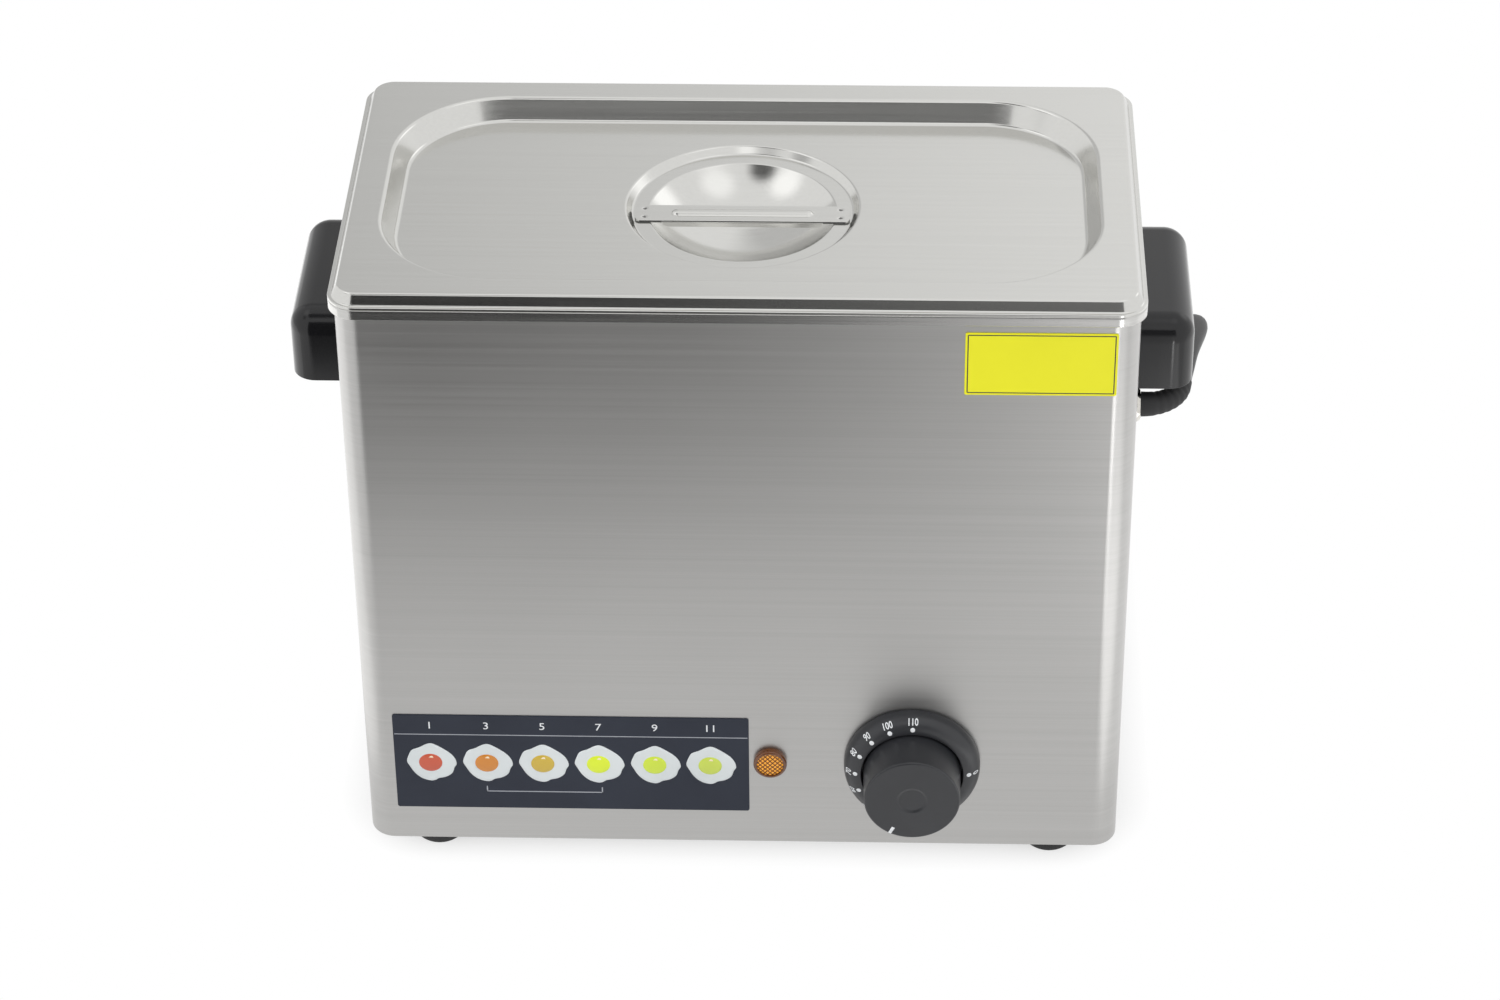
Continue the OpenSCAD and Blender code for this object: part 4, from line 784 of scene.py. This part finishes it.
def make_handle(side):
    bend_z = GRIP_TOP - GRIP_R
    outer = [(0.5, GRIP_LOW), (0.15, GRIP_LOW + 0.15), (0.0, GRIP_LOW + 0.5)]
    outer += arc(GRIP_R, bend_z, GRIP_R, 180, 90, 12)
    inner = arc(GRIP_R, bend_z, GRIP_R - GRIP_WALL, 90, 180, 6)
    inner += [(GRIP_WALL, GRIP_LOW + 0.5), (GRIP_WALL - 0.4, GRIP_LOW)]
    outer, inner = ([handle_loop(t, z) for t, z in places] for places in (outer, inner))
    verts, faces = shell(outer, inner, closed=False)
    # the edge that meets the casing, between loops of the same height
    n, last, count = len(outer[0]), len(outer) - 1, len(outer) + len(inner)
    front = [k * n for k in range(count)]
    back = [k * n + n - 1 for k in range(count)]
    pairs = [(k, max(count - 1 - k, last + 1)) for k in range(last + 1)]
    for (a, b), (c, d) in zip(pairs, pairs[1:]):
        for line in (front, back):
            face = tuple(dict.fromkeys((line[a], line[c], line[d], line[b])))
            if len(face) > 2:
                faces.append(face)
    faces.append((front[last], front[last + 1], back[last + 1], back[last]))
    parts = [(verts, faces)]
    boss = [(4.5, 0.0), (4.5, 14.6), (4.1, 15.0), (2.05, 15.0), (2.05, 0.0)]
    for y in (-GRIP_SCREWS, GRIP_SCREWS):
        parts.append(turned(boss, (0, y, GRIP_SCREW_Z), (1, 0, 0), 32, wrap=True))
        rib = [(0.0, y - 1.3), (15.0, y - 1.3), (15.0, y + 1.3), (0.0, y + 1.3)]
        parts.append(loft([[(u, v, z) for u, v in rib] for z in RIB_Z], capped=True))
    verts, faces = join(*parts)
    verts = [(side * (SIDE + x), y, z) for x, y, z in verts]
    name = "left" if side < 0 else "right"
    obj = make("grip_" + name, verts, faces, "gloss_black", angle=40)
    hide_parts("handle_" + name)


for side in (-1, 1):
    make_handle(side)


# ---------- dial, knob and lamp

def flat_text(text, size, thick, bold=0.0):
    """Letters as (points, faces) in their own plane, centred, z from 0 to thick."""
    data = bpy.data.curves.new("letters", "FONT")
    data.body = text
    data.size = size
    data.offset = bold
    data.align_x = data.align_y = "CENTER"
    data.resolution_u = 3
    obj = put("letters", data)
    mesh = finished_mesh(obj)
    bpy.data.objects.remove(obj)
    bpy.data.curves.remove(data)
    bm = bmesh.new()
    bm.from_mesh(mesh)
    bmesh.ops.remove_doubles(bm, verts=bm.verts, dist=1e-5)
    bmesh.ops.triangulate(bm, faces=bm.faces)
    for _ in range(3):
        bmesh.ops.subdivide_edges(bm, edges=[e for e in bm.edges if e.calc_length() > 0.45], cuts=1)
        bmesh.ops.triangulate(bm, faces=bm.faces)
    made = bmesh.ops.extrude_face_region(bm, geom=bm.faces[:])
    bmesh.ops.translate(bm, verts=[v for v in made["geom"] if isinstance(v, bmesh.types.BMVert)],
                        vec=(0, 0, thick))
    bmesh.ops.recalc_face_normals(bm, faces=bm.faces)
    bm.verts.index_update()
    verts = [tuple(v.co) for v in bm.verts]
    faces = [tuple(v.index for v in f.verts) for f in bm.faces]
    bm.free()
    bpy.data.meshes.remove(mesh)
    return verts, faces


RING_R, RING_H, RING_BEND, RING_IN = 28.8, 8.4, 7.0, 21.4
LABELS = (("110", 0), ("100", -23.5), ("90", -45.5), ("80", -67), ("70", -89.5), ("60", -111),
          ("50", -133.5), ("40", -155), ("30", -178), ("0", 89))


def dome(r):
    """Height of the dial ring's front over the casing, at a radius."""
    run = r - (RING_R - RING_BEND)
    if run <= 0:
        return RING_H
    return RING_H - RING_BEND + sqrt(max(RING_BEND ** 2 - run ** 2, 0.0))


def on_dial(angle):
    """A function for a point out from the dial's middle, to the side and up from the casing's front."""
    a = radians(angle)
    out, side = Vector((sin(a), 0, cos(a))), Vector((cos(a), 0, -sin(a)))

    def point(reach, across, height):
        p = Vector((DIAL[0], 0, DIAL[2])) + out * reach + side * across
        return p.x, FRONT - height, p.z
    return point


def make_dial():
    profile = [(5.1, 0), (28.6, 0), (RING_R, 0.2)]
    profile += arc(RING_R - RING_BEND, RING_H - RING_BEND, RING_BEND, 0, 90, 16)
    profile += arc(RING_IN + 0.5, RING_H - 0.5, 0.5, 90, 180, 4)[1:]
    profile += [(RING_IN, 1.9), (RING_IN - 0.3, 1.6), (5.1, 1.6)]
    ring = make("dial_bezel", *turned(profile, DIAL, (0, -1, 0), 128, wrap=True), "knob_black")
    cut(ring, *(((DIAL[0] + x, FRONT, DIAL[2]), (0, 1, 0), 2.25, 8) for x in (-DIAL_SCREWS, DIAL_SCREWS)))
    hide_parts("dial_ring")
    marks = []
    for text, angle in LABELS:
        point = on_dial(angle)
        dot = []
        for radius, lift in ((1.0, 0.02), (0.85, 0.09), (0.45, 0.12)):
            places = [(24.0 + radius * sin(tau * i / 24), radius * cos(tau * i / 24)) for i in range(24)]
            dot.append([point(r, across, dome(r) + lift) for r, across in places])
        marks.append(loft(dot, capped=True))
        # the number is laid on the rounding of the ring
        verts, faces = flat_text(text, 3.9, 0.05, 0.05)
        laid = []
        for x, y, z in verts:
            turn = min(max((5.6 + y * 1.14) / RING_BEND, 0.0), 1.45)
            laid.append(point(RING_R - RING_BEND + (RING_BEND + z) * sin(turn), x * 0.82,
                              RING_H - RING_BEND + (RING_BEND + z + 0.02) * cos(turn)))
        marks.append((laid, faces))
    make("dial_marks", *join(*marks), "knob_black", angle=30, material="print_white")


KNOB_BACK, KNOB_FRONT, KNOB_R = 4.2, 25.42, 20.17
POINTER = 208


def make_knob():
    """Cap with a shallow round recess in front, hollow behind, and its printed pointer."""
    back, front = KNOB_BACK, KNOB_FRONT
    profile = [(3.06, back + 0.1), (5.4, back + 0.1), (5.5, back + 0.3), (5.5, 23.3), (17.9, 23.3),
               (18.3, 22.9), (18.4, back + 0.2), (18.6, back), (20.4, back), (20.6, back + 0.3),
               (KNOB_R, front - 1.05)]
    profile += arc(KNOB_R - 1.0, front - 1.0, 1.0, 4, 90, 6) + [(6.9, front)]
    profile += [(6.9 - 1.8 * i / 5, front - 0.6 * (0.5 - 0.5 * cos(pi * i / 5))) for i in range(1, 6)]
    profile += [(0.0, front - 0.62), (0.0, 20.9), (3.06, 20.8)]
    knob = make("knob_cap", *turned(profile, DIAL, (0, -1, 0), 128, wrap=True), "knob_black", "knob", 30)
    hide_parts("knob")
    # the pointer lies on the front and bends over the edge: reach, height over the front, lean
    path = ((16.2, 0.0, 0.0), (19.2, 0.0, 0.0), (19.6, -0.09, 25.0), (20.04, -0.5, 60.0),
            (KNOB_R, -1.05, 86.0), (20.3, -3.2, 86.0))
    point = on_dial(POINTER)
    loops = [[point(reach + lift * sin(radians(lean)), across, front + lower + lift * cos(radians(lean)))
              for across, lift in ((-0.75, -0.35), (-0.68, 0.07), (0.68, 0.07), (0.75, -0.35))]
             for reach, lower, lean in path]
    make("knob_pointer", *loft(loops, capped=True), "knob_black", "knob", 30, "print_white")


LENS_R = 5.75
LENS_STEPS = 84
PRISM = 2.1


def prism(x, z):
    """Height of the lamp's crossed prisms, from 0 in the grooves to 2 on the tips."""
    return 2 * min(1 - abs(2 * (p / PRISM % 1.0) - 1) for p in (x + z, x - z))


def make_lamp():
    profile = [(0, 0), (7.0, 0), (7.1, 0.1), (7.1, 1.9)] + arc(6.0, 1.9, 1.1, 0, 90, 6)
    profile += [(LENS_R, 2.9), (5.6, 2.3), (0, 2.3)]
    rim = make("lamp_rim", *turned(profile, LAMP, (0, -1, 0), 64), "lens_amber", angle=30,
               material="lens_rim")
    n = LENS_STEPS
    verts = []
    for i in range(n + 1):
        for j in range(n + 1):
            u, v = 2 * i / n - 1, 2 * j / n - 1
            x = LENS_R * u * sqrt(1 - v * v / 2)
            z = LENS_R * v * sqrt(1 - u * u / 2)
            r = hypot(x, z)
            h = 2.25 + 0.35 * (1 - (r / LENS_R) ** 2) + 0.24 * prism(x, z) * min(1.0, (LENS_R - r) / 0.7)
            verts.append((LAMP[0] + x, FRONT - h, LAMP[2] + z))
    faces = [(k, k + 1, k + n + 2, k + n + 1) for i in range(n) for k in range(i * (n + 1), i * (n + 1) + n)]
    edge = [i * (n + 1) for i in range(n + 1)] + [n * (n + 1) + j for j in range(1, n + 1)]
    edge += [i * (n + 1) + n for i in range(n - 1, -1, -1)] + list(range(n - 1, 0, -1))
    base, m = len(verts), len(edge)
    verts += [(verts[k][0], FRONT - 1.2, verts[k][2]) for k in edge]
    faces += [(edge[k], edge[(k + 1) % m], base + (k + 1) % m, base + k) for k in range(m)]
    faces.append(tuple(base + k for k in range(m)))
    lens = make("lamp_prisms", verts, faces, "lens_amber", angle=20)
    relief = lens.data.attributes.new("relief", "FLOAT", "POINT")
    for spot, point in zip(relief.data, lens.data.vertices):
        spot.value = prism(point.co.x / MM - LAMP[0], point.co.z / MM - LAMP[2])
    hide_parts("pilot_lens")


make_dial()
make_knob()
make_lamp()


# ---------- plates

def plate_loops(box, r, levels, steps):
    """Rounded outlines on the casing's front: the box is x0, x1, z0, z1 and a level (inset, depth)."""
    x0, x1, z0, z1 = box
    loops = []
    for t, depth in levels:
        flat = rect_loop(x1 - x0 - 2 * t, z1 - z0 - 2 * t, max(r - t, 0.05), 0, steps)
        loops.append([((x0 + x1) / 2 + x, FRONT - depth, (z0 + z1) / 2 + z) for x, z, _ in flat])
    return loops


def plate_block(box, low, high, r, edge=0.15, steps=6):
    """A plate with rounded corners and a softened front edge."""
    levels = ((0, low), (0, high - edge), (edge * 0.3, high - edge * 0.3), (edge, high))
    return loft(plate_loops(box, r, levels, steps), capped=True)


def line_frame(box, width, low, high, r):
    """A thin printed line round a rectangle."""
    return loft(plate_loops(box, r, ((0, low), (0, high), (width, high), (width, low)), 6), wrap=True)


def put_text(text, x, z, size, depth, thick, stretch):
    verts, faces = flat_text(text, size, thick)
    return [(x + vx * stretch, FRONT - depth - vz, z + vy) for vx, vy, vz in verts], faces


CHART = (-147.3, 3.3, 28.7, 78.4)
EGG_X = (-131.7, -107.8, -84.0, -60.3, -36.4, -12.9)
EGG_Z = 53.0
MINUTES = ("1", "3", "5", "7", "9", "11")
WHITE_EDGE = ((0.5, 10.3), (3.9, 8.5), (8.0, 5.3), (10.1, 2.3), (10.7, -0.6), (9.7, -2.6), (8.6, -5.6),
              (6.0, -7.6), (2.8, -8.5), (1.3, -9.5), (-0.8, -9.8), (-4.2, -8.6), (-7.2, -5.8),
              (-9.4, -1.9), (-10.4, 0.7), (-9.6, 3.7), (-8.1, 6.6), (-4.9, 8.1), (-2.0, 9.8))
# outline of the painted highlight on top of each egg white
WHITE_HIGHLIGHT = ((0.4, 9.5), (3.6, 7.8), (1.4, 6.7), (-1.9, 7.0), (-3.4, 7.9))
# outline of the painted highlight on each yolk
YOLK_HIGHLIGHT = ((0.6, 3.9), (1.5, 3.1), (0.7, 2.5), (-0.5, 2.6), (-0.9, 3.3))
TAG = (90.6, 151.1, 243.6, 273.0)


def smooth_round(points, steps):
    """A closed smooth curve through points."""
    n = len(points)
    line = []
    for i in range(n):
        p = [Vector(points[(i + k) % n]) for k in (-1, 0, 1, 2)]
        for j in range(steps):
            t = j / steps
            line.append(0.5 * (2 * p[1] + (p[2] - p[0]) * t + (2 * p[0] - 5 * p[1] + 4 * p[2] - p[3]) * t ** 2
                               + (3 * p[1] - p[0] - 3 * p[2] + p[3]) * t ** 3))
    return line


def blob(x, z, outline, depth, levels):
    """A low rounded form on the casing's front: levels are (scale, lift)."""
    return loft([[(x + p[0] * k, FRONT - depth - lift, z + p[1] * k) for p in outline] for k, lift in levels],
                capped=True)


def yolk(x, z):
    """Half of a flattened ball on the chart."""
    loops = []
    for i in range(7):
        a = radians(90 * i / 6.2)
        loops.append([(x + 5.0 * cos(a) * cos(tau * k / 40), FRONT - 0.85 - 0.75 * sin(a),
                       z + 4.7 * cos(a) * sin(tau * k / 40)) for k in range(40)])
    return loft(loops, capped=True)


def make_chart():
    x0, x1 = CHART[:2]
    plate = make("chart_plate", *plate_block(CHART, 0.0, 0.5, 1.0), "chart_grey", angle=30)
    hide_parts("time_chart")
    boxes = ((x0 + 0.6, x1 - 0.6, 68.0, 68.4), (-108.7, -108.2, 37.6, 40.6), (-108.7, -59.1, 37.6, 38.05),
             (-59.6, -59.1, 37.6, 40.6))
    numbers = [put_text(text, x, 72.9, 5.2, 0.5, 0.05, 1.1) for text, x in zip(MINUTES, EGG_X)]
    edge, white_glint, spot = smooth_round(WHITE_EDGE, 5), smooth_round(WHITE_HIGHLIGHT, 5), smooth_round(YOLK_HIGHLIGHT, 4)
    white = ((1.0, 0.0), (0.99, 0.12), (0.95, 0.26), (0.84, 0.36), (0.5, 0.40))
    flat, domed = ((1.0, 0.0), (0.99, 0.03)), ((1.0, 0.0), (0.9, 0.12), (0.5, 0.16))
    prints = (
        ("chart_lines", "print_grey", 30, [plate_block(box, 0.48, 0.54, 0.05, 0.01, 2) for box in boxes]),
        ("chart_numbers", "print_white", 30, numbers),
        ("egg_whites", "egg_white", 50, [blob(x, EGG_Z, edge, 0.49, white) for x in EGG_X]),
        # painted highlight on each egg white
        ("egg_white_highlights", "painted_white_highlight", 50, [blob(x, EGG_Z, white_glint, 0.75, flat) for x in EGG_X]),
        # painted highlight on each yolk
        ("yolk_highlights", "painted_yolk_highlight", 50, [blob(x - 0.3, EGG_Z + 0.3, spot, 1.28, domed) for x in EGG_X]))
    for name, material, angle, parts in prints:
        make(name, *join(*parts), "chart_grey", angle=angle, material=material)
    for number, x in enumerate(EGG_X):
        name = f"yolk_{number + 1}"
        make("egg_" + name, *yolk(x - 0.3, EGG_Z + 0.3), "chart_grey", angle=60, material=name)


def make_tag():
    x0, x1, z0, z1 = TAG
    tag = make("tag_plate", *plate_block(TAG, 0.0, 0.3, 0.8, 0.08), "tag_yellow", angle=30)
    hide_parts("write_on_plate")
    make("tag_border", *line_frame((x0 + 0.9, x1 - 0.9, z0 + 0.9, z1 - 0.9), 0.45, 0.28, 0.33, 0.5),
         "tag_yellow", angle=30, material="dark_plastic")


make_chart()
make_tag()


# ---------- gland

def make_gland():
    profile = [(3.9, 4.0), (6.1, 4.0), (6.7, 3.7), (7.1, 3.0), (7.5, 2.2), (7.5, 0.2), (7.3, 0.0), (5.5, 0.0),
               (5.5, -6.3), (5.2, -6.5), (3.9, -6.5)]
    gland = make("gland_collar", *turned(profile, (SIDE, EXIT[1], EXIT[2]), (1, 0, 0), 64, wrap=True),
                 "nickel", angle=30)
    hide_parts("cord_gland")


make_gland()


# ---------- carried-over solids

for node, obj in NODES.items():
    obj.data.materials.clear()
    obj.data.materials.append(MATS[SLOTS[node]])
    weld = obj.modifiers.new("weld", "WELD")
    weld.merge_threshold = 1e-6
    bevel = obj.modifiers.new("bevel", "BEVEL")
    bevel.width = 0.0002
    bevel.segments = 2
    bevel.limit_method = "ANGLE"
    bevel.angle_limit = radians(50)
    bevel.harden_normals = True


# ---------- stage, world and lights

def light_path_white(tree):
    """1 for camera, glossy and transmission rays, 0 for the rest."""
    path = add(tree, "LightPath")
    seen = sums(tree, "MAXIMUM", path["Is Camera Ray"], path["Is Glossy Ray"])
    return sums(tree, "MAXIMUM", seen, path["Is Transmission Ray"])


def surface(tree, shader):
    tree.links.new(shader, tree.nodes["Material Output"].inputs["Surface"])


def sheet(name, corners):
    """An object with one flat face."""
    mesh = bpy.data.meshes.new(name)
    mesh.from_pydata(corners, [], [(0, 1, 2, 3)])
    return put(name, mesh)


def make_floor():
    """A matt table under the object, which fades into plain white farther out."""
    x, y0, y1 = 2.2, -0.365, 2.2
    floor = sheet("floor", [(-x, y0, 0), (x, y0, 0), (x, y1, 0), (-x, y1, 0)])
    mat, tree, shader = new_material("floor")
    feed(tree, shader, {"Base Color": (0.88, 0.88, 0.88, 1), "Roughness": 0.9, "Specular IOR Level": 0.1})
    # how far a point lies outside the rectangle that the object and its coil cover
    sides = add(tree, "SeparateXYZ", {"Vector": place_on(tree)})
    gaps = {}
    for axis, middle, half in (("X", 0.0, 0.128), ("Y", 0.096, 0.124)):
        off = sums(tree, "ABSOLUTE", sums(tree, "SUBTRACT", sides[axis], middle))
        gaps[axis] = sums(tree, "MAXIMUM", sums(tree, "SUBTRACT", off, half), 0.0)
    far = length(tree, add(tree, "CombineXYZ", gaps)["Vector"])
    white = sums(tree, "MULTIPLY", light_path_white(tree), spread(tree, far, 0.0, 1.0, 0.0, 0.05))
    glow = add(tree, "Emission", {"Strength": 1.0})["Emission"]
    surface(tree, add(tree, "MixShader", {"Fac": white, 1: shader.outputs["BSDF"], 2: glow})["Shader"])
    floor.data.materials.append(mat)


def card(name, corners, strength=1.0):
    """A card that only reflections see: the object, its material's tree and its emission."""
    obj = sheet(name, corners)
    mat, tree, shader = new_material(name)
    tree.nodes.remove(shader)
    glow = tree.nodes.new("ShaderNodeEmission")
    glow.inputs["Strength"].default_value = strength
    surface(tree, glow.outputs["Emission"])
    obj.data.materials.append(mat)
    for ray in ("camera", "diffuse", "shadow", "transmission", "volume_scatter"):
        setattr(obj, "visible_" + ray, False)
    return obj, tree, glow


def upright(name, x, y, z0, z1):
    """A card in front or behind: its material's tree, its emission and a point's axes."""
    _, tree, glow = card(name, [(-x, y, z0), (x, y, z0), (x, y, z1), (-x, y, z1)])
    return tree, glow, add(tree, "SeparateXYZ", {"Vector": place_on(tree)})


def mix_values(tree, factor, one, two):
    """From one to two; each is a number or a socket."""
    return add(tree, "Mix", {"Factor": factor, "A": one, "B": two})["Result"]


def make_front_card():
    """Dark surround of the camera: darker on the left, and a mid grey along its top."""
    tree, glow, axes = upright("front_card", 1.45, -2.6, -4.0, 2.2)
    low = spread(tree, axes["X"], 0.05, 1.0, -0.05, 0.40)
    middle = spread(tree, axes["X"], 0.03, 0.20, -0.30, 0.30)
    lower = mix_values(tree, spread(tree, axes["Z"], 0.0, 1.0, 0.3, 1.0), low, middle)
    top = spread(tree, axes["Z"], 0.0, 1.0, 1.72, 1.86)
    feed(tree, glow, {"Strength": mix_values(tree, top, lower, 0.12)})


def make_back_card():
    """Pale wall behind, a little dimmer on the left."""
    tree, glow, axes = upright("back_card", 3.0, 3.0, 0.0, 4.5)
    feed(tree, glow, {"Strength": spread(tree, axes["X"], 0.68, 1.0, -0.62, 0.35)})


def make_soft_card(name, azimuth, elevation, size, shade):
    """A round soft-edged card seen from the lid; azimuth from the front, to the right."""
    r = size / 2
    obj, tree, glow = card(name, [(-r, -r, 0), (r, -r, 0), (r, r, 0), (-r, r, 0)], shade)
    a, e = radians(azimuth), radians(elevation)
    aim = Vector((sin(a) * cos(e), -cos(a) * cos(e), sin(e)))
    obj.location = Vector((0, 0.012, 0.28)) + 2.4 * aim
    obj.rotation_euler = aim.to_track_quat("Z", "Y").to_euler()
    clear = add(tree, "BsdfTransparent")["BSDF"]
    fade = spread(tree, length(tree, place_on(tree)), 0.0, 1.0, 0.45 * r, r)
    surface(tree, add(tree, "MixShader", {"Fac": fade, 1: glow.outputs["Emission"], 2: clear})["Shader"])


def make_reflector(name, x, y, shade):
    """A bright board lying beside the object, just over the table."""
    z = 0.004
    card(name, [(x[0], y[0], z), (x[1], y[0], z), (x[1], y[1], z), (x[0], y[1], z)], shade)


def make_stand_strip():
    """A narrow bright strip in front on the right, lower than the table."""
    y = -2.0
    card("stand_strip", [(0.62, y, -2.6), (0.80, y, -2.6), (0.80, y, -0.4), (0.62, y, -0.4)], 7.0)


def make_world():
    world = bpy.data.worlds.new("studio")
    bpy.context.scene.world = world
    world.use_nodes = True
    tree = world.node_tree
    strength = spread(tree, light_path_white(tree), 0.55, 1.0, 0.0, 1.0)
    feed(tree, tree.nodes["Background"], {"Color": (1, 1, 1, 1), "Strength": strength})


def make_light(name, place, target, size, power):
    data = bpy.data.lights.new(name, "AREA")
    data.shape = "RECTANGLE"
    data.size, data.size_y = size
    data.energy = power
    light = put(name, data)
    light.location = place
    light.rotation_euler = (Vector(target) - Vector(place)).to_track_quat("-Z", "Y").to_euler()
    light.visible_glossy = False


def make_stage():
    make_floor()
    make_world()
    make_front_card()
    make_back_card()
    make_soft_card("dark_card", -35, 61, 1.25, 0.12)
    make_soft_card("grey_card", -65, 38, 0.9, 0.55)
    make_soft_card("left_box", -84, 56, 1.4, 1.45)
    make_soft_card("right_box", 68, 68, 1.5, 1.3)
    make_soft_card("back_box", 127, 25, 1.5, 1.5)
    make_soft_card("front_box", -3, 49, 0.8, 1.35)
    make_reflector("left_board", (-1.3, -0.22), (-0.14, 0.6), 1.5)
    make_reflector("right_board", (0.22, 1.3), (-0.14, 0.6), 1.2)
    make_reflector("right_strip", (0.19, 0.42), (-0.36, -0.12), 1.9)
    make_stand_strip()
    make_light("overhead", (0.0, -0.2, 2.2), (0, 0, 0.1), (2.0, 1.4), 18)
    make_light("front_fill", (0.0, -2.2, 1.9), (0, 0, 0.15), (2.0, 1.2), 16)
    make_light("left_fill", (-1.6, -1.1, 1.3), (0, 0, 0.15), (0.9, 1.2), 8)
    make_light("right_fill", (1.8, -0.8, 1.2), (0, 0, 0.15), (0.7, 1.2), 6)


make_stage()
bpy.context.scene.view_settings.view_transform = "Standard"
